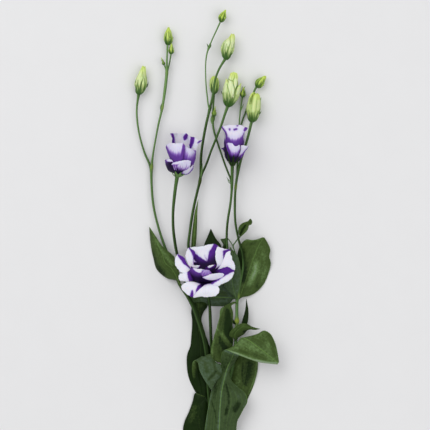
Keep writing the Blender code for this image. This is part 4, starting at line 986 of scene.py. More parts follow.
# Free petals of the opening buds: left margin, middle line and right margin of each.
BUD_PETALS = {
    "bud_pale": {
        "left": (
            [(19.9, 139.2, 10), (16.2, 146.8, 9), (15.4, 152.1, 9.4), (17.2, 160.2, 11),
             (19.4, 166.4, 13)],
            [(20.4, 139, 12), (17.9, 146.8, 14.6), (17.4, 153, 15.4), (18.4, 160.4, 15.6),
             (19.4, 166.4, 13)],
            [(21.6, 139.6, 14), (22.6, 146.8, 17.4), (22.2, 155.7, 18), (21.2, 162, 16.6),
             (19.4, 166.4, 13)]),
        "front": (
            [(20.4, 139.4, 13.6), (19.4, 146.8, 16.4), (19.8, 155.7, 17.2), (21.6, 163, 16),
             (22.6, 168.6, 14.6), (23.4, 171.8, 14), (26.5, 172.8, 13.6)],
            [(22, 139, 14.6), (23.6, 147, 18), (24.6, 156, 18.4), (25.8, 164, 17),
             (26.2, 168.4, 15.4), (26.5, 172.8, 13.6)],
            [(23.4, 139.2, 13.8), (27.4, 148, 17), (28.8, 156, 17.2), (30.2, 163, 15.6),
             (31, 168.5, 14.4), (29.8, 172, 14), (26.5, 172.8, 13.6)]),
        "right": (
            [(22.4, 139.3, 14.6), (25.4, 145.6, 18.4), (27.4, 151.2, 18.8), (30.5, 157.4, 17.6),
             (33.9, 161.8, 15)],
            [(23, 138.8, 13), (28.6, 145.6, 15.8), (31, 151.6, 16.2), (32.6, 157, 15.6),
             (33.9, 161.8, 15)],
            [(22.8, 138.4, 11), (27.4, 141.6, 9.6), (31.8, 147.7, 9), (33.6, 155, 10.6),
             (33.9, 161.8, 15)]),
        "back": (
            [(19.6, 139, 8), (16.6, 148, 6), (18.6, 158, 5.6), (22, 166, 7), (26.4, 171.8, 9.6)],
            [(21, 138.8, 5.6), (23.6, 148, 2.6), (25, 158, 3.4), (26.2, 166, 6),
             (26.4, 171.8, 9.6)],
            [(22.6, 138.6, 8), (31.2, 148, 6), (31.4, 158, 6), (30.2, 166, 8), (26.4, 171.8, 9.6)]),
    },
    "bud_yellow": {
        "left": (
            [(43.8, 123.6, 10), (40.8, 129.5, 9.4), (39.3, 135.5, 9.6), (40.8, 143, 11),
             (43, 149.4, 12.6), (45, 152, 13.4), (46.6, 152.6, 13.4)],
            [(44.2, 123.4, 12.6), (42.6, 130, 14.8), (41.8, 136, 15.4), (42.6, 143, 15.2),
             (44.2, 148.6, 14.8), (46.6, 152.6, 13.4)],
            [(44.8, 123.4, 13.4), (45.2, 131, 16.6), (45.2, 138, 16.8), (44.2, 143.4, 16.6),
             (44.8, 148, 15.8), (46.6, 152.6, 13.4)]),
        "front": (
            [(44.6, 123.2, 13.8), (44.2, 130, 17), (44.6, 137, 17.6), (46, 144, 17.2),
             (46.8, 148.8, 16.4), (48.4, 151.2, 15.4), (50.2, 151.4, 15)],
            [(45.4, 122.8, 13.6), (48, 130, 17.4), (49, 138, 17.6), (49.4, 145, 16.8),
             (49.8, 149.4, 15.8), (50.2, 151.4, 15)],
            [(46.2, 123, 12.2), (51, 127.8, 11.4), (53.2, 134.3, 10.6), (53.6, 141, 11),
             (53.2, 147, 12.6), (52, 150.6, 14.2), (50.2, 151.4, 15)]),
        "back": (
            [(43.8, 123.4, 9), (40.6, 132, 6.6), (41.2, 142, 6.4), (44.6, 149.6, 8.6),
             (47.4, 152.8, 10.4)],
            [(45.2, 122.8, 8), (46.6, 132, 4.4), (47.4, 142, 5), (47.6, 149.6, 7.6),
             (47.4, 152.8, 10.4)],
            [(46, 122.8, 9), (52.2, 132, 6.6), (52.6, 142, 6.8), (50.8, 149, 8.8),
             (47.4, 152.8, 10.4)]),
    },
}
# Creases and lobes of the furled petals, as x, y and half width along each: the creases sink in
# and carry painted shade, the lobes stand out and carry a painted highlight.
BUD_CREASES_AND_SHADE = {
    "bud_left": [
        [(-67.8, 154, 0.7), (-69.4, 159.4, 0.5), (-69, 165, 0.2)],
        [(-67, 154.6, 0.6), (-66, 161, 0.4), (-63.6, 167, 0.3), (-64.2, 173, 0.2)],
        [(-63, 155, 0.9), (-61.6, 160.2, 0.5), (-62.4, 166.4, 0.2)]],
    "bud_upper_left": [
        [(-40.4, 202, 0.6), (-41.4, 207.5, 0.35), (-40.6, 212, 0.2)],
        [(-38.4, 201.6, 0.4), (-37.8, 207.5, 0.3), (-38.2, 213.4, 0.2)],
        [(-36.2, 203, 0.5), (-35.9, 208.4, 0.3), (-36.8, 212, 0.2)]],
    "bud_tall": [
        [(19.8, 187, 0.8), (20.2, 191.4, 0.9), (22.1, 197.7, 0.4)],
        [(16.6, 188.4, 0.9), (15.2, 195, 0.5), (16.8, 201.4, 0.3)],
        [(23.6, 189.6, 0.7), (25.9, 195, 0.35), (27, 201, 0.2)],
        [(22.1, 197.7, 0.35), (23.4, 202.1, 0.3), (23, 206.6, 0.3), (23.6, 209, 0.2)],
        [(18.2, 189, 0.5), (18, 195, 0.3), (19.6, 201, 0.2)]],
    "bud_green": [
        [(5.1, 153.9, 0.8), (4.6, 160.2, 0.4), (5.6, 166.4, 0.3)],
        [(10.1, 153.9, 0.8), (10.9, 160.2, 0.5), (10.3, 166.4, 0.3)]],
    "bud_pale": [
        [(19.6, 139.6, 0.9), (17.4, 145.9, 0.5), (16.4, 152.1, 0.2)],
        [(22.1, 139.6, 0.9), (23.7, 146.8, 0.45), (21.4, 155.7, 0.3), (19.9, 160.6, 0.2)],
        [(23.9, 140, 1), (28, 149, 0.6), (29.4, 157, 0.4), (32.8, 161.3, 0.2)],
        [(27, 149.4, 0.4), (28, 155.7, 0.4), (26.6, 159.3, 0.35), (25.9, 163.8, 0.3)],
        [(21.2, 166.2, 0.3), (23.2, 164.6, 0.35), (25.6, 163.8, 0.5)],
        [(25.4, 164, 0.3), (27.6, 167, 0.25), (27.2, 170.6, 0.2)],
        [(20.6, 140, 0.6), (20, 147, 0.35), (19, 152, 0.15)],
        [(25.6, 142, 0.5), (25.6, 147, 0.3)]],
    "bud_small": [[(36.8, 149, 0.5), (37.8, 152, 0.4), (36.6, 156, 0.2)]],
    "bud_right": [
        [(49.9, 159.6, 0.6), (51.4, 163.8, 0.35), (55.1, 167.3, 0.2)],
        [(53.2, 158.6, 0.7), (55.8, 162, 0.4), (57.2, 166.2, 0.2)]],
    "bud_yellow": [
        [(42.9, 141, 0.5), (43.5, 145.9, 0.75), (45.6, 150.4, 0.4)],
        [(42.8, 126, 0.8), (41.6, 132, 0.3)], [(45, 125, 0.7), (44.6, 132, 0.3)],
        [(46.8, 125, 0.6), (48, 133.4, 0.25)], [(49.4, 126.4, 0.8), (51.2, 133.4, 0.25)],
        [(52.2, 131, 0.5), (53, 136, 0.3)]],
    "bud_top": [
        [(13.4, 224.9, 0.6), (13.3, 228, 0.3), (16.3, 232.5, 0.2)],
        [(15.8, 225.6, 0.5), (17.5, 229.8, 0.4), (18, 233, 0.2)]],
    "bud_twin": [[(-36.8, 192, 0.4), (-37.4, 195, 0.25)], [(-34.4, 192.4, 0.5), (-34, 195, 0.3)]],
}
# Lobes, which stand out and carry a painted highlight.
BUD_LOBES_AND_HIGHLIGHTS = {
    "bud_left": [
        [(-70.6, 161, 0.6), (-68.4, 167.4, 0.8), (-65.8, 174, 0.5)],
        [(-64.2, 162, 0.7), (-63.6, 168, 0.6), (-63, 176, 0.6)],
        [(-67.8, 161, 0.4), (-66.8, 167, 0.6)]],
    "bud_upper_left": [
        [(-39.6, 205, 0.5), (-39.4, 211, 0.6)],
        [(-37, 204.6, 0.4), (-37, 211, 0.5)]],
    "bud_tall": [
        [(18.6, 196, 0.5), (19.2, 202, 0.7), (21.6, 206, 0.4)],
        [(21.6, 199.6, 0.5), (22.2, 203.4, 0.7)],
        [(25.4, 198, 0.6), (25.6, 205, 0.8), (25.4, 209.6, 0.6)]],
    "bud_green": [[(6, 158, 0.6), (6.4, 166, 0.7)]],
    "bud_pale": [
        [(17.6, 154, 0.8), (18.4, 161, 0.9), (19.6, 165.4, 0.4)],
        [(22.6, 152, 0.6), (23.2, 160, 1.3), (22.6, 168, 0.7)],
        [(26, 147, 0.5), (25.8, 155, 0.8), (25, 160, 0.6)],
        [(28.8, 165, 0.8), (28.4, 158.6, 0.8)],
        [(30.8, 151, 0.7), (32.4, 157.4, 0.5)]],
    "bud_right": [[(51.4, 160.6, 0.5), (53.8, 164.4, 0.7), (56.6, 167.4, 0.4)]],
    "bud_yellow": [
        [(41.2, 136, 0.6), (41.6, 143, 0.7), (43.6, 149.6, 0.4)],
        [(46, 134, 1), (47, 142, 1.2), (48.6, 148.6, 0.9)],
        [(50.4, 136, 0.8), (51.4, 144, 0.8)]],
    "bud_top": [[(14.8, 226.4, 0.4), (15.2, 229.6, 0.6), (17, 233, 0.3)]],
    "bud_small": [[(35.2, 149.6, 0.3), (35.2, 152, 0.5)]],
    "bud_twin": [[(-35.8, 193, 0.4), (-35.8, 198, 0.4)]],
}
BUD_ROWS = 72
BUD_SIDES = 80
# Share of a fold over which its edge rises, middle of the step, its height for a depth of 1, and
# the shares of the length between which the folds grow.
FOLD_EDGE, STEP_MIDDLE, STEP_HEIGHT, FOLD_RISE = 0.12, 0.4, 1.6, (0.08, 0.45)
# Width and strength of the painted shade in the crease along each fold.
FOLD_CREASE_SHADE_WIDTH, FOLD_CREASE_SHADE = 0.14, 0.4
# How softly the drawn creases and lobes fade, how far they sink in and stand out in radii, and
# how far inside an edge the full strength is reached, in softnesses.
CREASE_SOFTNESS, LOBE_SOFTNESS = 0.5, 1.6
CREASE_SINK, LOBE_STAND = 0.10, 0.05
DRAWN_INSIDE = 0.4


def axis_frame(base, tip):
    """Base, length, axis, the direction across it to the right, and the one up off the table."""
    base, tip = np.asarray(base, float), np.asarray(tip, float)
    length = np.linalg.norm(tip - base)
    axis = (tip - base) / length
    right = unit(np.cross(axis, [0, 0, 1.0]))
    return base, length, axis, right, np.cross(right, axis)


def bud_path(stations, height, shares):
    """Centre and radius at shares of the bud's length."""
    stations = np.array([(x, y, height, half) for x, y, half in stations])
    return curve_through(stations, shares)


def drawn_on(places, bands, softness):
    """1 inside any of the bands, fading to 0 at the softness outside them."""
    shares = [smooth_step(-softness, softness * DRAWN_INSIDE, band_depth(places, band))
              for band in bands]
    return np.max([np.zeros(places.shape[:2])] + shares, axis=0)


def drawn_layers(name, places):
    """Share of each place that lies in the bud's drawn creases, and in its lobes."""
    return (drawn_on(places, BUD_CREASES_AND_SHADE.get(name, []), CREASE_SOFTNESS),
            drawn_on(places, BUD_LOBES_AND_HIGHLIGHTS.get(name, []), LOBE_SOFTNESS))


def bud_body(name, stations, height, folds, turns, depth, tone, crown):
    """Furled petals as one closed skin: each fold is a step that winds up round the bud.

    radius = station radius * (1 + step height * depth * step * rise), where step falls from one
    petal edge to the next and rise grows from the base to the middle; the drawn creases sink in
    and carry painted shade, as does a strip along each fold, and the lobes stand out and carry a
    painted highlight. At the top each petal stands out along the axis by
    crown * 2 * step * t^8.
    """
    t = np.linspace(0, 1, BUD_ROWS)
    path = bud_path(stations, height, t)
    angle = np.arange(BUD_SIDES) / BUD_SIDES
    fold = (angle[None, :] * folds + turns * folds * t[:, None]) % 1.0
    step = smooth_step(0.0, FOLD_EDGE, fold) * (1 - fold) - STEP_MIDDLE
    rise = smooth_step(*FOLD_RISE, t)[:, None]
    radii = path[:, 3:] * (1 + depth * step * rise * STEP_HEIGHT)
    plain = tube_body(path[:, :3], radii, BUD_SIDES).points[:-2].reshape(BUD_ROWS, BUD_SIDES, 3)
    crease_and_shade, lobe_and_highlight = drawn_layers(name, plain)
    radii = radii * (1 - CREASE_SINK * crease_and_shade + LOBE_STAND * lobe_and_highlight)
    # painted shade along the crease of each fold
    between = 1 - smooth_step(0.0, FOLD_CREASE_SHADE_WIDTH, fold)
    crease_and_shade = np.maximum(crease_and_shade, between * rise * FOLD_CREASE_SHADE)
    body = tube_body(path[:, :3], radii, BUD_SIDES, along=t[:, None], reach=lobe_and_highlight,
                     across=np.abs(angle * 2 - 1)[None, :] * 2, tone=tone, flush=crease_and_shade)
    axis = unit(path[-1, :3] - path[0, :3])
    shift = (crown * 2 * step * t[:, None] ** 8).reshape(-1, 1) * axis
    body.points[:len(shift)] += shift
    return body


def three_line_places(margins, u, v):
    """Places of a sheet through three lines: left v(v-1)/2 + middle (1-v^2) + right v(v+1)/2."""
    left, middle, right = (curve_through(points, u)[:, None] for points in margins)
    w = v[None, :, None]
    places = left * w * (w - 1) / 2 + middle * (1 - w * w) + right * w * (w + 1) / 2
    return places, left, middle, right


BUD_PETAL_ROWS, BUD_PETAL_COLUMNS = 60, 31
BUD_PETAL_ENDS = (0.01, 0.985)
BUD_PETAL_HALF = 0.22
# Heights of the frill, the crease and the lobe, and of the teeth at the tip.
FRILL, CREASE_DROP, LOBE_LIFT, TOOTH = 0.5, 0.7, 0.4, 0.9
# Depth and width of the green middle line.
MIDDLE_GREEN, MIDDLE_WIDTH = 0.4, 0.16


def bud_petal_body(name, margins, tone):
    """A free bud petal through its three lines, greener towards its middle line.

    Its margin frills by frill * sin(31 u + 2 v) |v|^3 u^3, its tip is toothed by
    tooth * sin(11 v) u^12, the drawn creases sink in and carry painted shade, and the lobes lift
    and carry a painted highlight.
    """
    u = np.linspace(*BUD_PETAL_ENDS, BUD_PETAL_ROWS)
    v = np.linspace(-1, 1, BUD_PETAL_COLUMNS)
    places, _, middle, _ = three_line_places(margins, u, v)
    frill = np.sin(u[:, None] * 31 + v[None, :] * 2) * np.abs(v)[None, :] ** 3 * u[:, None] ** 3
    crease_and_shade, lobe_and_highlight = drawn_layers(name, places)
    places[..., 2] += FRILL * frill - CREASE_DROP * crease_and_shade + LOBE_LIFT * lobe_and_highlight
    tooth = np.sin(v * 11 + middle[-1, 0, 0]) * (1 - v**4) * TOOTH
    places += unit(middle[-1] - middle[0]) * (tooth[None, :] * u[:, None] ** 12)[..., None]
    thin = np.full((len(u), len(v)), BUD_PETAL_HALF) * (1 - 0.5 * v[None, :] ** 4)
    line = np.exp(-((v[None, :] / MIDDLE_WIDTH) ** 2)) * (1 - u[:, None])
    # flush holds the painted shade of the creases and the green middle line; reach the painted
    # highlight of the lobes
    return sheet_body(places, thin, thin, along=u[:, None], across=v[None, :] * 0.5 + 1.1,
                      tone=tone, flush=np.maximum(crease_and_shade, MIDDLE_GREEN * line), reach=lobe_and_highlight)


STRAP_ROWS, STRAP_COLUMNS = 28, 9
STRAP_ENDS = (0.02, 0.985)
STRAP_THICKNESS = 0.3


def strap_body(route, width, facing, cup, tone):
    """A narrow pointed blade along a route: half width = width * sin(pi (0.08 + 0.9 u)^0.8).

    facing is the direction its upper face looks, and the margins stand up by cup * v^2.
    """
    u = np.linspace(*STRAP_ENDS, STRAP_ROWS)
    v = np.linspace(-1, 1, STRAP_COLUMNS)
    path = curve_through(np.asarray(route, float), u)
    forward = unit(np.gradient(path, axis=0))
    out = unit(facing - forward * np.sum(facing * forward, axis=1, keepdims=True))
    across = np.cross(forward, out)
    half = (width * np.sin(math.pi * (0.08 + 0.9 * u) ** 0.8))[:, None]
    places = (path[:, None] + across[:, None] * (half * v[None, :])[..., None]
              + out[:, None] * (cup * half * v[None, :] ** 2)[..., None])
    thin = np.full((STRAP_ROWS, STRAP_COLUMNS), STRAP_THICKNESS / 2) * (1 - 0.5 * v[None, :] ** 2)
    return sheet_body(places, thin, thin, along=u[:, None], across=v[None, :],
                      reach=np.abs(half * v[None, :]), tone=tone)


BUD_SEPALS = 5
SEPAL_STATIONS = 8
# Every other sepal is shorter by this share. Then how far each station stands off the bud, and
# the half width, cup and tone.
SEPAL_SHORTER = 0.15
SEPAL_OFF = np.array([0.1] * 6 + [0.35, 0.9])[:, None]
SEPAL_HALF, SEPAL_CUP, SEPAL_TONE = 0.16, -0.3, 0.42


def sepal_bodies(stations, height, share, start):
    """Narrow sepals that hug a bud from its base to their share of its length."""
    ends = [(x, y, height) for x, y, half in (stations[0], stations[-1])]
    *_, right, up = axis_frame(*ends)
    width = SEPAL_HALF + max(half for x, y, half in stations) * 0.1
    bodies = []
    for number in range(BUD_SEPALS):
        angle = start + number / BUD_SEPALS * 2 * math.pi
        out = math.cos(angle) * up + math.sin(angle) * right
        t = np.linspace(0, share * (1 - SEPAL_SHORTER * (number % 2)), SEPAL_STATIONS)
        path = bud_path(stations, height, t)
        distance = path[:, 3:] * 0.98 + SEPAL_OFF
        bodies.append(strap_body(path[:, :3] + out * distance, width, out, SEPAL_CUP, SEPAL_TONE))
    return bodies


def make_buds():
    """One piece for every furled bud, every free petal, and every bud's sepals."""
    for name, values in BUDS.items():
        stations, height, folds, turns, depth, tone, crown, share, start = values
        nodes = [] if name in OWN_PIECES else [name]
        body = bud_body(name, stations, height, folds, turns, depth, tone, crown)
        petals = BUD_PETALS.get(name, {})
        bodies = [bud_petal_body(name, margins, tone) for margins in petals.values()]
        make_piece(name, [body], BUD, nodes)
        for label, petal in zip(petals, bodies):
            make_piece(f"{name}_petal_{label}", [petal], BUD)
        make_piece(name + "_sepals", sepal_bodies(stations, height, share, start), STEM)


# Small bracts at the forks, and curled sepal tips: route, half width and tone.
BRACTS = {
    "bract_left_stem": ([(-45.9, 133.6, 6.4), (-46.4, 137.4, 6.8), (-45.6, 141.6, 7)], 0.55, 0.6),
    "bract_top_stem": ([(1.6, 196.4, 9.4), (0.9, 199, 9.8), (-0.2, 201.8, 10)], 0.6, 0.55),
    "bract_top_stem_right": ([(2.4, 196.6, 9.4), (3.6, 198.6, 9.8), (4.4, 200.6, 10)], 0.5, 0.5),
    "bract_green_stem": ([(5.6, 120.4, 5.6), (4.3, 125, 5.8), (5, 130.6, 5.8)], 0.8, 0.85),
    "bract_centre_fork": ([(-6.2, 67, 10.8), (-5.3, 74, 11.4), (-4.5, 82, 11.8)], 0.75, 0.7),
    "bract_right_bloom_stem": (
        [(24, 62.6, 17.2), (21.8, 64.6, 17.4), (19.4, 68.4, 17.8)], 0.4, 0.5),
    "bract_right_bloom_low": ([(24.2, 61, 17), (22, 62.6, 17.2), (20.6, 65.4, 17.6)], 0.35, 0.5),
    "bract_small_stem": ([(33.7, 134.6, 4.4), (35, 137.6, 4.8), (36.8, 141.6, 5.2)], 0.6, 0.8),
    "bract_centre_top": ([(3.2, 134.4, 12.6), (4.2, 138, 13), (3.9, 142, 13.2)], 0.6, 0.1),
    "bract_main_node": ([(29, -79.4, 10.6), (26.8, -77.4, 11.6), (26.2, -74, 11.8)], 1.0, 0.0),
    "spike_bud_left": ([(-60.4, 157.4, 8), (-59.4, 160, 8.2), (-58.6, 163.6, 8.6)], 0.4, 0.15),
    "spike_bud_pale": ([(16, 149.4, 9.8), (15, 152, 9.8), (13.8, 154.8, 9.8)], 0.4, 0.3),
    "spike_bud_yellow": ([(52.4, 130.4, 10.4), (53.2, 132, 10.4), (54.4, 134, 10.6)], 0.4, 0.5),
    "spike_bud_yellow_top": ([(52.8, 143, 12), (53.6, 145.4, 12), (54.2, 148, 12)], 0.4, 0.85),
    "spike_bud_small": ([(36.6, 155.4, 4), (37.2, 157, 4.2), (38.5, 159.2, 4.4)], 0.4, 0.8),
    "spike_bud_small_left": ([(36.4, 155.4, 4), (36.1, 157, 4.2), (35.6, 159, 4.4)], 0.4, 0.8),
}


BRACT_CUP = 0.3


def make_bracts():
    """One piece for every bract, facing up off the table."""
    for name, (route, width, tone) in BRACTS.items():
        body = strap_body(route, width, np.array([0, 0, 1.0]), BRACT_CUP, tone)
        make_piece(name, [body], STEM)


# ---------------------------------------------------------------- petals

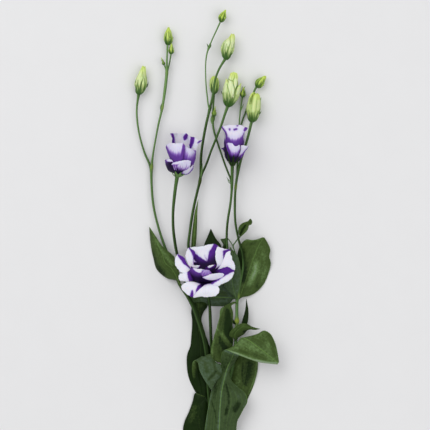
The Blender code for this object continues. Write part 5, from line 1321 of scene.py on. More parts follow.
# Petals: left margin, middle line, right margin, then the looks: violet share of the length in
# the middle, at the left margin and at the right margin, how fast it climbs to the margins, how
# crisp its edge is, the share up to which it darkens towards the throat (deep violet and painted
# shade), the face towards you (0 inner, 1 outer), and violet bands as x, y and half width along
# each, white where the half width is negative.
OPEN_BLOOM = {
    "petal_back": (
        [(-4, -35, 22), (-9, -27, 24), (-13.6, -18.6, 21), (-14.6, -10, 17), (-17.4, -3, 14),
         (-13, -1.9, 13), (-8, -1.6, 12.8), (-3, -0.6, 12.6)],
        [(-3, -35, 22), (-3, -26, 22), (-3, -17, 18.6), (-3, -9, 15.4), (-3, -0.6, 12.6)],
        [(-2, -35, 22), (4, -27, 24), (9.5, -18, 21.5), (8.6, -11, 18), (9.6, -5, 15.4),
         (11.4, -1.2, 14), (7, 0.9, 13.4), (2, 0.6, 12.8), (-3, -0.6, 12.6)],
        (0.4, 0.4, 0.4, 2, 12, 0.7, 0,
         [[(9.4, 1.5, 2.3), (7.6, -3, 2.6), (5.6, -8, 3.7), (5, -13, 4.1), (5, -18, 5.5)],
          [(-14, -8, 1.2), (-12.2, -11.4, 2.7), (-8.6, -15, 3.3), (-3.5, -18, 3.2), (1, -20, 3)],
          [(-14, -20, 3), (-6, -20, 3.2), (4, -19.6, 3)],
          [(-2.2, -10.6, 0.1), (-1.2, -13, 0.3), (-0.2, -15.4, 0.2)]])),
    "petal_back_left": (
        [(-5, -35, 23), (-14, -26, 27), (-18.5, -19.5, 27), (-21, -13.5, 25), (-21.2, -9, 23),
         (-19.4, -4, 20.6), (-18, -2.4, 19.6)],
        [(-5, -35, 23), (-13, -25, 26.4), (-16.4, -16, 24.6), (-17.4, -8, 21.4), (-18, -2.4, 19.6)],
        [(-5, -35, 23), (-11, -25, 26), (-13.4, -17.6, 24.4), (-12.6, -10.4, 21.6),
         (-12, -6.2, 19.8), (-14.6, -4.4, 19.4), (-18, -2.4, 19.6)],
        (0.35, 0.35, 0.35, 2, 12, 0.5, 0,
         [[(-18.4, -2.4, 0.3), (-15.6, -4.8, 1.5), (-13.2, -7.4, 2.3), (-12.8, -11, 1.6),
           (-12.8, -15, 1.1), (-12.6, -19, 1.2)]])),
    "petal_left": (
        [(-6, -36, 23), (-14, -29, 29), (-20.6, -28, 31), (-24, -28, 31), (-28, -25, 29.6),
         (-31, -21, 28), (-32.1, -17, 27)],
        [(-6, -36, 23), (-13, -28.6, 29), (-19, -23.6, 31), (-26, -20, 30), (-32.1, -17, 27)],
        [(-6, -35, 23), (-12, -26, 27.6), (-17.4, -21.6, 28.4), (-21.1, -16.4, 28),
         (-22.6, -12.6, 27.6), (-26, -10.6, 27), (-29.2, -8.8, 26.4), (-31.4, -12.8, 26.4),
         (-32.1, -17, 27)],
        (0.35, 0.35, 0.35, 2, 12, 0.5, 0,
         [[(-29.6, -8.8, 0.5), (-26.8, -11.4, 1.5), (-23.6, -14.4, 2.3), (-21.8, -17.6, 1.9),
           (-19.4, -20, 1.3), (-16, -23, 1.2)]])),
    "petal_lower_left": (
        [(-6, -37, 24), (-12, -36.6, 30), (-15.5, -36, 33), (-20, -36.4, 34), (-24.5, -35.8, 33),
         (-27.4, -34.6, 31.6), (-28.4, -32.4, 31)],
        [(-6, -37, 24), (-12, -33, 29.6), (-17, -31.4, 33), (-22, -31.2, 34), (-28.4, -32.4, 31)],
        [(-6, -36, 24), (-12, -29, 28), (-15.4, -25.6, 30), (-17.2, -24, 30.6), (-20, -26, 31),
         (-23, -27.6, 31.4), (-26, -28.4, 31.4), (-27.8, -30, 31.2), (-28.4, -32.4, 31)],
        (0.45, 0.45, 0.45, 2, 12, 0.6, 0,
         [[(-18, -24.5, 1.2), (-17.6, -28, 2.2), (-16.4, -32, 2.6), (-15, -36, 2.5)]])),
    "petal_front_left": (
        [(-2, -38, 24), (-2.4, -39.6, 33), (-6, -42.8, 38), (-10.4, -46.8, 39.6), (-12, -49, 39.4),
         (-14.2, -51.7, 38.4), (-17, -50.4, 38), (-19.4, -49.2, 37.6), (-22.6, -46.8, 36.8)],
        [(-3, -38, 24), (-7, -38.8, 33), (-12, -41, 38), (-17, -43.8, 38.8), (-22.6, -46.8, 36.8)],
        [(-5, -37.6, 24), (-9, -37.6, 32), (-14.4, -36.6, 36), (-20, -36.8, 37), (-23.6, -38.4, 37),
         (-25.4, -41.6, 36.6), (-24.8, -44, 36.6), (-22.6, -46.8, 36.8)],
        (0.34, 0.34, 0.34, 2, 12, 0.5, 0,
         [[(-15.6, -52.4, 2), (-15, -49, 1.6), (-14.6, -45.8, 0.9)],
          [(-10.4, -48, 0.8), (-9.6, -44.8, 1.3), (-7.6, -41.6, 1.9), (-4, -39.6, 2.2)]])),
    "petal_front": (
        [(2, -38, 24), (6, -38.6, 32), (10, -39.8, 36.6), (12.2, -43.6, 38.6), (12, -47, 38.6),
         (9.6, -49.8, 38), (4, -51.3, 37.4), (-1.2, -51.8, 37)],
        [(0, -38, 24), (1, -38.4, 32), (1, -40.4, 37), (0, -45, 39.4), (-1.2, -51.8, 37)],
        [(-2, -38, 24), (-3, -39, 32), (-4.4, -41.2, 37), (-8.4, -44.8, 39.6), (-12, -48.8, 40),
         (-13.9, -52.1, 39.2), (-10.6, -51.9, 38.4), (-6.3, -51.1, 37.8), (-1.2, -51.8, 37)],
        (0.38, 0.36, 0.36, 2, 12, 0.45, 0, [])),
    "petal_front_right": (
        [(3, -36, 24), (10, -32, 31), (17.4, -29.6, 34), (22, -27.6, 34.6), (26.9, -26.4, 33.6),
         (26.4, -29, 33), (24.3, -33.4, 33), (21, -36, 33.6), (17.6, -37.6, 34.4)],
        [(3, -36.4, 24), (7, -35, 31), (12, -34, 35.4), (15, -35.4, 36), (17.6, -37.6, 34.4)],
        [(2, -37, 24), (3, -37.6, 31), (4.6, -39, 35.6), (7, -40.4, 36.2), (11.1, -40.9, 35.6),
         (14.1, -39.2, 35), (17.6, -37.6, 34.4)],
        (0.45, 0.45, 0.45, 2, 12, 0.5, 0,
         [[(5, -37.6, 1.4), (11, -33.6, 1.6), (17, -29.6, 1.4), (22, -27, 1.1),
           (27, -25.8, 0.5)]])),
    "petal_right_violet": (
        [(0, -35, 24), (6, -26, 29), (13, -23.6, 31.4), (17, -22.4, 31.6), (21.6, -21.6, 31.4),
         (24, -23.6, 31), (27.8, -25.6, 30.6)],
        [(0, -35.4, 24), (8, -29, 29), (15, -26, 31), (21, -25.2, 31.2), (27.8, -25.6, 30.6)],
        [(1, -36, 24), (9, -31, 29.4), (16, -29.6, 32), (21, -27.8, 32), (25, -26.6, 31.4),
         (27.8, -25.6, 30.6)],
        (1.4, 1.4, 1.4, 2, 12, 0.6, 0, [])),
    "petal_right": (
        [(1, -34, 23.6), (8, -25, 26.6), (15, -18, 27.6), (18.2, -10, 26.6), (19.4, -7.4, 26),
         (23.6, -6.4, 24.6), (23.4, -8.6, 24.8), (24.8, -11.4, 25), (25.2, -15, 25.4),
         (27.2, -18, 25.8), (28.3, -21.4, 26.4)],
        [(1, -34, 23.6), (9, -26.4, 26.8), (16, -21, 28.6), (22, -19, 28), (28.3, -21.4, 26.4)],
        [(1, -35, 23.6), (9, -28, 27), (16.7, -23.4, 28.6), (21.4, -23.8, 28.6), (25, -24.6, 28),
         (27.6, -24.4, 27.2), (28.3, -21.4, 26.4)],
        (0.4, 0.4, 0.4, 2, 12, 0.55, 0, [])),
    "petal_back_right": (
        [(-1, -34, 23), (6, -26, 25.6), (12.2, -20.6, 25.6), (9.4, -16.6, 24.4), (8.4, -11.6, 22),
         (8.8, -5.6, 19.4), (11.4, -1.7, 17.6), (14, -2.6, 17.4), (17.6, -3.7, 17.4)],
        [(-1, -34, 23), (7, -25, 25.4), (13.6, -17, 24), (14.6, -10, 21), (17.6, -3.7, 17.4)],
        [(0, -34, 23), (9, -27, 26), (15.4, -22, 26.4), (17, -18, 26), (17.6, -13, 24.4),
         (17.6, -9.6, 22.6), (20, -7, 20.8), (23.8, -5, 19.4), (20.6, -4.2, 18.4),
         (17.6, -3.7, 17.4)],
        (0.38, 0.38, 0.38, 2, 12, 0.5, 0,
         [[(23.8, -4.9, 0.4), (20.6, -5.6, 1.2), (17.6, -7, 1.8), (17, -9.6, 1), (17.2, -14, 0.6),
           (17, -20, 0.7)]])),
    "petal_inner_back_left": (
        [(-5.6, -34, 25), (-13, -26, 29), (-16, -21.4, 31), (-15, -20.2, 31.4),
         (-11.5, -20.2, 31.6)],
        [(-5, -34, 25), (-9, -27, 29), (-11, -22, 31), (-11.5, -20.2, 31.6)],
        [(-4.4, -34, 25), (-6.6, -27, 29), (-7.2, -22.7, 31), (-6.6, -20.6, 31.4),
         (-8.6, -20, 31.6), (-11.5, -20.2, 31.6)],
        (0.8, 0.8, 0.8, 2, 34, 0.95, 0, [])),
    "petal_inner_back_right": (
        [(-3, -34, 25.4), (-3, -28, 29), (-1.9, -23.4, 31.6), (0.4, -21.2, 32), (3.6, -20.2, 32.2)],
        [(-2.6, -34, 25.4), (0, -27, 29), (2.4, -22.6, 31.6), (3.6, -20.2, 32.2)],
        [(-2, -34, 25.4), (4, -28, 29), (8, -22, 31), (9, -19.6, 31.6), (6.4, -19.6, 32),
         (3.6, -20.2, 32.2)],
        (0.84, 0.84, 0.84, 2, 34, 0.95, 0, [])),
    "petal_inner_front_left": (
        [(-5, -38.6, 26), (-11, -36, 30), (-15.6, -31, 33), (-17, -24.4, 35.4),
         (-16.6, -23.2, 35.8), (-13.4, -23, 36.4), (-9.4, -23.6, 37)],
        [(-3, -38.8, 26.4), (-6.4, -35, 32), (-7.6, -29, 36), (-8, -26.4, 37), (-9.4, -23.6, 37)],
        [(-1, -38.8, 26.4), (1, -35, 31), (3.4, -29.6, 34.6), (4.8, -26.6, 36), (3, -24.4, 36.4),
         (-3, -24, 37), (-9.4, -23.6, 37)],
        (0.8, 0.84, 0.8, 2, 30, 0.85, 1, [])),
    "petal_inner_lilac": (
        [(-2, -37, 28), (-5.6, -32, 33), (-6, -28, 36.6), (-5, -25.4, 38), (-1.4, -24.4, 38.6)],
        [(-0.6, -37, 28), (-1, -31.4, 35.6), (-1.2, -27.6, 38.4), (-1.4, -24.4, 38.6)],
        [(1, -37, 28), (3.8, -32, 33.6), (4.8, -28.4, 36.6), (3, -25.6, 38), (-1.4, -24.4, 38.6)],
        (0.9, 0.95, 0.9, 2, 1.0, 0.5, 1, [])),
    "petal_inner_front_right": (
        [(-1, -38.8, 27), (-3.6, -36, 31.6), (-6.3, -33.4, 34), (-4.6, -32.2, 35.6),
         (-1.2, -30.8, 37), (3.9, -28.8, 38), (8.6, -28, 38.4)],
        [(1, -38.6, 27), (3, -36, 33), (5, -33, 36.6), (6.6, -30, 38.2), (8.6, -28, 38.4)],
        [(3, -38.6, 27), (8, -36.4, 31.6), (12.4, -33.6, 34.4), (16.4, -30.6, 36),
         (17.2, -29, 36.6), (13.6, -27.8, 37.6), (8.6, -28, 38.4)],
        (0.5, 0.5, 0.5, 2, 26, 0.75, 1, [])),
}

LEFT_BLOOM = {
    "cup_back_left": (
        [(-31, 71, 20), (-37, 84, 17), (-37.6, 96, 17), (-35.2, 103, 17.6), (-34.6, 107, 18),
         (-36.6, 111.4, 18.6), (-33.4, 112, 18.4), (-29, 111.8, 17)],
        [(-30, 71, 19), (-31.4, 84, 13), (-31, 97, 11.4), (-30, 106, 13), (-29, 111.8, 15)],
        [(-28, 71, 19), (-25, 84, 12), (-23.4, 97, 11.6), (-23, 107, 13.6), (-23.6, 111.8, 15.4),
         (-26, 112, 15.6), (-29, 111.8, 15)],
        (0.5, 0.5, 0.5, 2, 12, 0.5, 0,
         [[(-36.6, 111.6, 0.5), (-34.6, 110.6, 1.2), (-33.7, 106, 1.5), (-33.7, 94, 1.4)]])),
    "cup_back_middle": (
        [(-28, 71, 19), (-26, 86, 12.4), (-25.4, 98, 12.4), (-25, 107.4, 14.6), (-23.6, 111.4, 16),
         (-22.3, 112.2, 16.4)],
        [(-27.6, 71, 19), (-22.4, 86, 12.4), (-20.6, 98, 12.4), (-21, 106, 14.8),
         (-22.3, 112.2, 16.4)],
        [(-27, 71, 19), (-18, 86, 14), (-15.6, 97, 14.4), (-16.6, 105, 16), (-17.8, 109.4, 17.2),
         (-20, 111, 16.8), (-22.3, 112.2, 16.4)],
        (0.5, 0.5, 0.5, 2, 12, 0.5, 0,
         [[(-20.4, 110, 1.6), (-21.6, 107.6, 2.3), (-22.2, 106, 1.4)]])),
    "cup_back_right": (
        [(-27, 71, 20), (-19, 84, 16), (-17.4, 96, 17), (-18, 104, 18.6), (-17.6, 108.4, 19.6),
         (-16, 108, 19.8), (-12.4, 108, 20.6)],
        [(-26.6, 71, 20), (-16, 84, 17), (-13.4, 95, 19), (-12.6, 103, 20.6), (-12.4, 108, 20.6)],
        [(-26, 71, 21), (-14.4, 82, 21), (-10.6, 94, 22), (-9, 100.6, 22.6), (-7.6, 102.6, 22.8),
         (-4.8, 104.6, 23), (-8.8, 104.6, 22), (-12.4, 108, 20.6)],
        (0.5, 0.5, 0.5, 2, 12, 0.5, 0,
         [[(-14.2, 108, 2.2), (-14.9, 103, 2), (-16.6, 98, 1.6)],
          [(-4.8, 104.6, 0.8), (-7.6, 103.2, 0.9), (-9, 102, 0.5)]])),
    "cup_front_left": (
        [(-30.4, 70.6, 22), (-35.4, 77, 23), (-37.3, 86.7, 23), (-39.8, 93.4, 23.6),
         (-40.8, 99.2, 24.4), (-39, 101.2, 26), (-35, 101.6, 30), (-31.5, 101.4, 33)],
        [(-29.6, 70.6, 24), (-31, 78, 31), (-31.4, 87, 34), (-31.6, 95, 34.6), (-31.5, 101.4, 33)],
        [(-28.4, 70.4, 24), (-25.6, 77, 32), (-24.4, 84.4, 35.4), (-23, 92, 35.8),
         (-21.8, 99.4, 34.6), (-23.4, 101.3, 34), (-27.5, 101.4, 34), (-31.5, 101.4, 33)],
        (0.7, 0.68, 0.68, 2, 7, 0.2, 1,
         [[(-41, 99.4, 0.8), (-39.9, 95, 1.5), (-38, 90, 2.5), (-36, 86, 4)],
          [(-22.8, 101.4, 1), (-23.2, 97, 1.5), (-23.8, 92, 2), (-25, 86, 2.6)]])),
    "cup_front_right": (
        [(-28.2, 70.4, 23.6), (-26.4, 78, 30), (-25, 86, 33), (-24, 94, 33.4), (-23.6, 101, 32.4),
         (-21.4, 98.4, 33), (-16.6, 96.2, 32)],
        [(-27, 70.2, 23.6), (-22, 77, 30.6), (-19, 84.6, 33.4), (-17.4, 91, 33.4),
         (-16.6, 96.2, 32)],
        [(-26.4, 69.8, 23), (-18.6, 72.6, 23.4), (-14.2, 78, 23.4), (-12, 84.4, 23.6),
         (-11, 89.4, 24.2), (-11, 93.6, 26), (-13.6, 95.2, 29.6), (-16.6, 96.2, 32)],
        (0.74, 0.78, 0.84, 2, 3.6, 0.15, 1,
         [[(-23.6, 101, 0.5), (-23.6, 97, 0.9), (-23.4, 92, 1)]])),
    "outer_left": (
        [(-31, 71.4, 20.6), (-35, 72.2, 20.6), (-38.2, 74, 21), (-40.4, 77.6, 21.6),
         (-41.6, 81.6, 22.6), (-42, 84.8, 23.6)],
        [(-30.6, 71.4, 23), (-34, 74.4, 27), (-37, 78.4, 29), (-38.6, 82, 29), (-42, 84.8, 23.6)],
        [(-30, 71.4, 24), (-31.4, 74, 29), (-32.6, 78.4, 31.6), (-33.4, 82.4, 32),
         (-34.4, 84.4, 31.4), (-37, 85.8, 29.6), (-39.4, 85.8, 27), (-42, 84.8, 23.6)],
        (1.3, 1.3, 1.3, 2, 12, 1.0, 1,
         [[(-39, 84.6, -1.2), (-36, 84.8, -1.6), (-34, 83.8, -0.8)]])),
    "outer_front": (
        [(-30, 71.2, 24), (-33.6, 74.6, 30), (-35, 79, 33.4), (-35.1, 81, 34.4), (-31, 83, 36),
         (-25.4, 84, 37)],
        [(-28.6, 71, 24.6), (-28.4, 75, 32), (-27.4, 79.4, 36.4), (-26, 82, 37.6), (-25.4, 84, 37)],
        [(-27, 71, 24.4), (-22.4, 74.2, 31), (-18, 76.6, 33), (-16.2, 80.4, 34.6),
         (-16.2, 83.4, 35.4), (-19.6, 84.6, 36.2), (-25.4, 84, 37)],
        (0.58, 1.3, 0.44, 1, 3.0, 0.75, 1,
         [[(-34.8, 80.8, -0.4), (-30, 81.6, -1.4), (-25, 82.9, -1.6), (-20, 84, -1.1),
           (-16.4, 83.6, -0.7)], [(-33.5, 80, -0.14), (-32.2, 75.4, -0.1)],
          [(-31.6, 80, -0.12), (-30.6, 75, -0.1)]])),
    "outer_right": (
        [(-28, 70.8, 23.6), (-24, 73.8, 29), (-19, 75.9, 30.6), (-16, 78, 30), (-13.6, 80.4, 28)],
        [(-27.6, 70.4, 22.6), (-23, 71.8, 27), (-18, 74, 28), (-15.4, 76.6, 27.4),
         (-13.6, 80.4, 28)],
        [(-27, 70, 21.6), (-22.6, 69.9, 22), (-18.8, 70.8, 22.4), (-16.2, 72.8, 22.8),
         (-13.7, 76.5, 24), (-13.6, 80.4, 28)],
        (0.3, 0.3, 0.3, 2, 6, 0.3, 1,
         [[(-22.7, 69.6, 1), (-18.8, 70.4, 1.2), (-16.2, 72.4, 1.3), (-13.4, 76.5, 1.1),
           (-13, 80, 0.6)]])),
}

RIGHT_BLOOM = {
    "cup_back_left": (
        [(24, 82, 19), (18, 92, 15), (17, 102, 14), (17.6, 110, 15), (17, 116, 17), (20, 119.4, 17),
         (23, 119.6, 16)],
        [(25, 82, 18), (23, 92, 10.6), (22, 102, 9), (22.4, 112, 11), (23, 119.6, 14.6)],
        [(26, 82, 18), (29, 92, 10), (29.6, 102, 8.6), (29, 112, 10.6), (28, 118, 13.6),
         (25, 119.8, 14.4), (23, 119.6, 14.6)],
        (0.5, 0.6, 0.6, 2, 12, 0.5, 0, [])),
    "cup_back_right": (
        [(25.4, 82, 18.4), (27, 92, 11), (27.6, 102, 9.6), (29, 112, 11.6), (30, 118.6, 14.6),
         (32, 119.6, 16)],
        [(26, 82, 18.4), (31, 92, 12.6), (33, 102, 11.6), (33.6, 112, 13.6), (32, 119.6, 16)],
        [(26.6, 82, 19.4), (34.6, 92, 17), (37, 102, 17), (37.6, 111, 18), (38.4, 117, 19.6),
         (35, 119.4, 18), (32, 119.6, 16)],
        (0.5, 0.6, 0.6, 2, 12, 0.5, 0, [])),
    "cup_front": (
        [(25, 82, 21), (19, 90, 23), (17.6, 100.8, 23.6), (18.6, 108, 24), (18, 112.2, 24.4),
         (15.4, 115.9, 24.6), (14.3, 117.9, 24.6), (18.2, 119.2, 25.6), (22, 119.8, 27),
         (26, 119.9, 29)],
        [(25.4, 82, 23), (26, 92, 31), (27, 102, 33), (27.4, 112, 32), (26, 119.9, 29)],
        [(26, 82, 22), (33, 90, 25.6), (36.2, 100.8, 27), (36.3, 109, 27.4), (37.4, 112.4, 27),
         (39.6, 114.8, 26.6), (40.6, 116.8, 26.6), (37.4, 118, 27), (33.8, 119.8, 28),
         (30.2, 119.4, 29), (26, 119.9, 29)],
        (0.62, 0.62, 0.6, 2, 12, 0.56, 1,
         [[(14.4, 118, 0.9), (16.4, 114.6, 1.6), (18.3, 110, 2.1), (18.3, 104, 2.4),
           (18.4, 100, 2.6)], [(22.6, 115.4, 1), (22.8, 114.6, 0.8)],
          [(27.4, 115, 1.1), (29.4, 115.6, 1)], [(30, 118.8, 0.8), (30.6, 119, 0.6)],
          [(37.4, 114.4, 1), (39, 116.4, 1.7), (40.8, 115.6, 0.5)],
          [(36.6, 111.6, 0.6), (36, 107, 0.5)]])),
    "outer_front": (
        [(24.6, 82, 22.4), (21.6, 88, 27.6), (20, 95, 29.6), (19.6, 101.6, 30.4), (22, 101.8, 31.4),
         (25.6, 101.3, 32.6)],
        [(25.6, 82, 23.4), (26.4, 88, 30), (26.4, 95, 33), (25.6, 101.3, 32.6)],
        [(26.6, 82, 23), (31, 88, 28.6), (32.6, 94, 30.6), (32.8, 99.4, 31), (29.2, 100.8, 32),
         (25.6, 101.3, 32.6)],
        (0.56, 0.8, 0.66, 2, 4.4, 0.55, 1,
         [[(19.7, 101, 0.6), (21, 96, 1.2), (22.6, 92, 1.6)], [(31.6, 94, 0.5), (29.6, 88, 1)]])),
    "outer_right": (
        [(26, 82, 22.6), (30, 88, 28), (31, 93, 29.6), (32.6, 99.4, 30), (37, 99.2, 28.6),
         (41.8, 98.4, 26.4)],
        [(26.6, 82, 22), (31.6, 88, 26), (34.6, 93.4, 27), (38, 96.6, 27), (41.8, 98.4, 26.4)],
        [(27, 81.6, 20.6), (31.6, 83.6, 22), (36, 89.4, 23), (39.4, 95.4, 24.6),
         (41.8, 98.4, 26.4)],
        (0.46, 0.42, 0.56, 2, 4.6, 0.5, 1,
         [[(41.8, 98, 0.5), (39.4, 94.4, 1.3), (36, 89.6, 1.9), (32, 85.6, 2.6)]])),
    "outer_left": (
        [(24.4, 82, 20.6), (20.6, 84, 21), (18, 88, 21.6), (17, 93, 22.4), (16, 95, 22.6),
         (14.1, 96.4, 22.6)],
        [(24.5, 82, 21.6), (21, 86, 24.6), (18.6, 91.6, 25.4), (17, 95.6, 24.6),
         (14.1, 96.4, 22.6)],
        [(24.6, 82, 22.4), (21.6, 88, 26.6), (20, 94, 28), (18, 98, 27), (16.6, 97.4, 25),
         (14.1, 96.4, 22.6)],
        (1.3, 1.3, 1.3, 2, 12, 1.15, 1, [])),
}
PETAL_ROWS, PETAL_COLUMNS = 54, 37
PETAL_THICKNESS = 0.36
PETAL_TRIM = 0.015
# Height of the margin's ripple, depth of its bites and where on the length they start, how much
# the margin is thinner, the share of the dark throat (deep violet and painted shade) where it
# starts to fade, and the change of tone from one petal to the next.
RIPPLE, BITE, BITE_RISE = 0.35, 0.4, (0.3, 0.7)
PETAL_THINNING = 0.3
DEEP_FADE = 0.6
PETAL_TONE_STEP = 0.37
# How many petals of each bloom stand for CAD petals, in the order of its table.
CAD_PETALS = {"open_bloom": 8, "left_bloom": 6, "right_bloom": 5}


def petal_body(margins, looks, number):
    """A petal through its three lines, with its violet as a layer.

    The violet's edge is at the share centre + (side - centre) |v|^power of the length, and
    flush is how far inside the violet a point is. The margin ripples up and down by
    ripple * sin(17 u) |v|^3 u and bites in and out by bite * sin(41 u) sin(17 u) v^6, both
    shifted along by the petal's number.
    """
    centre, at_left, at_right, power, crispness, deep, outer, bands = looks
    u = np.linspace(PETAL_TRIM, 1 - PETAL_TRIM, PETAL_ROWS)
    v = np.linspace(-1, 1, PETAL_COLUMNS)
    places, left, middle, right = three_line_places(margins, u, v)
    side = np.where(v < 0, at_left, at_right)
    level = centre + (side - centre) * np.abs(v) ** power
    flush = (level[None, :] - u[:, None]) * crispness
    for band in bands:
        inside = band_depth(places, band)
        flush = np.minimum(flush, -inside) if band[0][2] < 0 else np.maximum(flush, inside)
    ripple = np.sin(u[:, None] * 17 + number * 1.7 + np.where(v < 0, 0.0, 2.1)[None, :])
    places[..., 2] += RIPPLE * ripple * np.abs(v)[None, :] ** 3 * u[:, None]
    outwards = unit(np.where(v[None, :, None] < 0, left, right) - middle)
    bite = np.sin(u * 41 + number * 2.3) * np.sin(u * 17 + number) * smooth_step(*BITE_RISE, u)
    places += outwards * (BITE * bite[:, None] * v[None, :] ** 6)[..., None]
    thin = PETAL_THICKNESS * (0.5 - PETAL_THINNING * np.abs(v[None, :]) ** 4)
    thin = thin * np.ones((PETAL_ROWS, 1))
    # the dark throat: deep violet and painted shade towards the base
    depth = 1 - smooth_step(deep * DEEP_FADE, deep, u)
    body = sheet_body(places, thin, thin, along=u[:, None], across=v[None, :],
                      reach=depth[:, None], tone=(number * PETAL_TONE_STEP) % 1.0, flush=flush)
    if outer:
        body.layers["side"] = 1 - body.layers["side"]
    return body


def make_blooms():
    """One piece for every petal."""
    tables = {"open_bloom": OPEN_BLOOM, "left_bloom": LEFT_BLOOM, "right_bloom": RIGHT_BLOOM}
    for bloom, table in tables.items():
        for number, (label, (*margins, looks)) in enumerate(table.items()):
            nodes = [f"{bloom}_petal_{number + 1}"] if number < CAD_PETALS[bloom] else []
            body = petal_body(margins, looks, number)
            make_piece(f"{bloom}_{label}", [body], PETAL, nodes)


# ---------------------------------------------------------------- calyces

# Calyx cups: base and tip of the axis, and the widest radius.
CALYCES = {
    "open_bloom": ((-2, -42, 17.4), (-2, -36, 23), 3.6),
    "left_bloom": ((-29.8, 67.6, 20), (-28.6, 74.6, 20.8), 3.9),
    "right_bloom": ((25.2, 78.6, 19), (25.8, 85, 19.6), 3.7),
}
# How light the sepals of each bloom are, then the route and half width of each sepal.
SEPAL_TONES = {"open_bloom": 0.3, "left_bloom": 0.72, "right_bloom": 0.05}
BLOOM_SEPALS = {
    "open_bloom": [
        ([(-3, -40, 19), (-12, -36, 21), (-22, -32, 23.6)], 1.3),
        ([(1, -40, 19), (10, -34, 21), (20, -28, 23.6)], 1.3),
        ([(-2, -38, 19), (-6, -26, 17), (-9, -14, 14)], 1.3),
        ([(0, -38, 19), (5, -26, 17), (9, -14, 14)], 1.3),
        ([(-1, -42, 19), (-2, -46, 25), (-4, -48, 32)], 1.3)],
    "left_bloom": [
        ([(-31, 67.6, 21.6), (-33.4, 69.6, 24.4), (-35, 73, 27.6)], 1.5),
        ([(-29.8, 67.4, 22.4), (-30.6, 70.2, 26.6), (-31.6, 73.6, 30)], 1.6),
        ([(-28.8, 67.4, 22.4), (-27.2, 69.8, 26.4), (-25.4, 72.6, 29.8)], 1.6),
        ([(-28, 67.4, 21.4), (-24.6, 69.2, 24), (-21.6, 71.6, 26)], 1.5),
        ([(-30, 67, 18), (-31, 76, 14), (-31, 84, 11.6)], 0.9)],
    "right_bloom": [
        ([(25.4, 78.6, 22.4), (26.2, 85, 28.8), (27.4, 92.8, 32.6)], 0.95),
        ([(24.6, 78.6, 22), (21.8, 85.4, 27), (20.4, 92.6, 29.6), (18.6, 98.6, 28.6)], 0.8),
        ([(26, 78.6, 22), (30.4, 84.4, 27), (33.8, 90, 28.6)], 0.8),
        ([(24.4, 78.6, 20.6), (20, 84.6, 22), (17.2, 91, 23)], 0.7),
        ([(25.4, 78.6, 17), (26, 88, 12), (26.4, 98, 8.6)], 0.9)],
}


CALYX_ROWS, CALYX_SIDES = 20, 30
# Profile of a cup, as shares of its length and of its radius, how far its colour pattern runs
# along, its tone, and how far the margins of its sepals roll back.
CUP_SHARES, CUP_RADII = [0, 0.25, 0.6, 0.85, 1], [0.5, 0.8, 1, 0.9, 0.3]
CUP_ALONG, CUP_TONE = 9, 0.35
BLOOM_SEPAL_CUP = -0.2


def make_calyces():
    """A cup turned round its axis and a piece of sepals for every bloom.

    A sepal faces away from the top of the axis, at the height on the spray of its second point.
    """
    for bloom, (base, tip, radius) in CALYCES.items():
        start, length, axis, *_ = axis_frame(base, tip)
        t = np.linspace(0, 1, CALYX_ROWS)
        centres = start + axis * (t * length)[:, None]
        cup = tube_body(centres, radius * np.interp(t, CUP_SHARES, CUP_RADII), CALYX_SIDES,
                        along=t[:, None] * CUP_ALONG, across=0.5, tone=CUP_TONE)
        make_piece(f"{bloom}_calyx", [cup], STEM, [f"{bloom}_calyx"])
        top = start + axis * length
        sepals = []
        for route, width in BLOOM_SEPALS[bloom]:
            facing = np.array([route[1][0] - top[0], 0, route[1][2] - top[2]])
            sepals.append(strap_body(route, width, facing, BLOOM_SEPAL_CUP, SEPAL_TONES[bloom]))
        make_piece(f"{bloom}_sepals", sepals, STEM)


# ---------------------------------------------------------------- stage


FLOOR_HALF = 3
FLOOR_GREYS = ((0.785, 0.785, 0.785), (0.805, 0.805, 0.805))
FLOOR_ROUGHNESS, FLOOR_SPECULAR = 0.9, 0.1
SKY_COLOUR, SKY_STRENGTH = (0.98, 0.98, 1, 1), 0.6
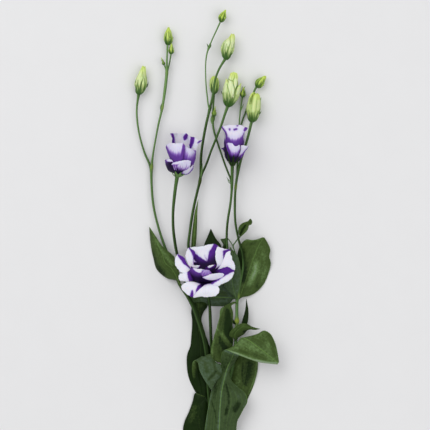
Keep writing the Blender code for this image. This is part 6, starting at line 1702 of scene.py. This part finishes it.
# Round panels of light, aimed at the origin: place and power in watts, then their width.
LIGHTS = {"key": ((-1.2, 1.3, 2.2), 29), "fill": ((1.2, -0.5, 2.2), 15)}
LIGHT_WIDTH = 2.4
# Place looked at straight down from far off, and the width of the table shown there.
AIM = (0.008, 0.030, 0.012)
SHOWN_WIDTH = 0.43
LENS, SENSOR_WIDTH, VIEW_LIMIT = 400, 36, 20


def make_stage():
    """Pale floor, soft sky, a large panel of light above left, a weaker one, and the camera."""
    mesh = bpy.data.meshes.new("floor")
    corners = [(-1, -1), (1, -1), (1, 1), (-1, 1)]
    mesh.from_pydata([(x * FLOOR_HALF, y * FLOOR_HALF, 0) for x, y in corners], [],
                     [(0, 1, 2, 3)])
    material, tree = new_finish("floor_pale")
    shader = tree.nodes["Principled BSDF"]
    grain = noise(tree, object_place(tree), 30.0)
    tree.links.new(blend_colour(tree, grain, *FLOOR_GREYS), shader.inputs["Base Color"])
    shader.inputs["Roughness"].default_value = FLOOR_ROUGHNESS
    shader.inputs["Specular IOR Level"].default_value = FLOOR_SPECULAR
    mesh.materials.append(material)
    floor = place_object("floor", mesh)
    world = bpy.data.worlds.new("studio")
    world.use_nodes = True
    sky = world.node_tree.nodes["Background"]
    sky.inputs["Color"].default_value = SKY_COLOUR
    sky.inputs["Strength"].default_value = SKY_STRENGTH
    bpy.context.scene.world = world
    for label, (place, power) in LIGHTS.items():
        light = bpy.data.lights.new(label, "AREA")
        light.shape = "DISK"
        light.size = LIGHT_WIDTH
        light.energy = power
        lamp = place_object(label, light)
        lamp.location = place
        lamp.rotation_euler = (-Vector(place)).to_track_quat("-Z", "Y").to_euler()
    camera = bpy.data.cameras.new("camera")
    camera.lens = LENS
    camera.sensor_width = SENSOR_WIDTH
    camera.clip_end = VIEW_LIMIT
    holder = place_object("camera", camera)
    holder.location = (*AIM[:2], SHOWN_WIDTH * LENS / SENSOR_WIDTH + AIM[2])
    bpy.context.scene.camera = holder
    bpy.context.scene.view_settings.view_transform = "Standard"


make_stems()
make_leaves()
make_buds()
make_blooms()
make_calyces()
make_bracts()
make_stage()
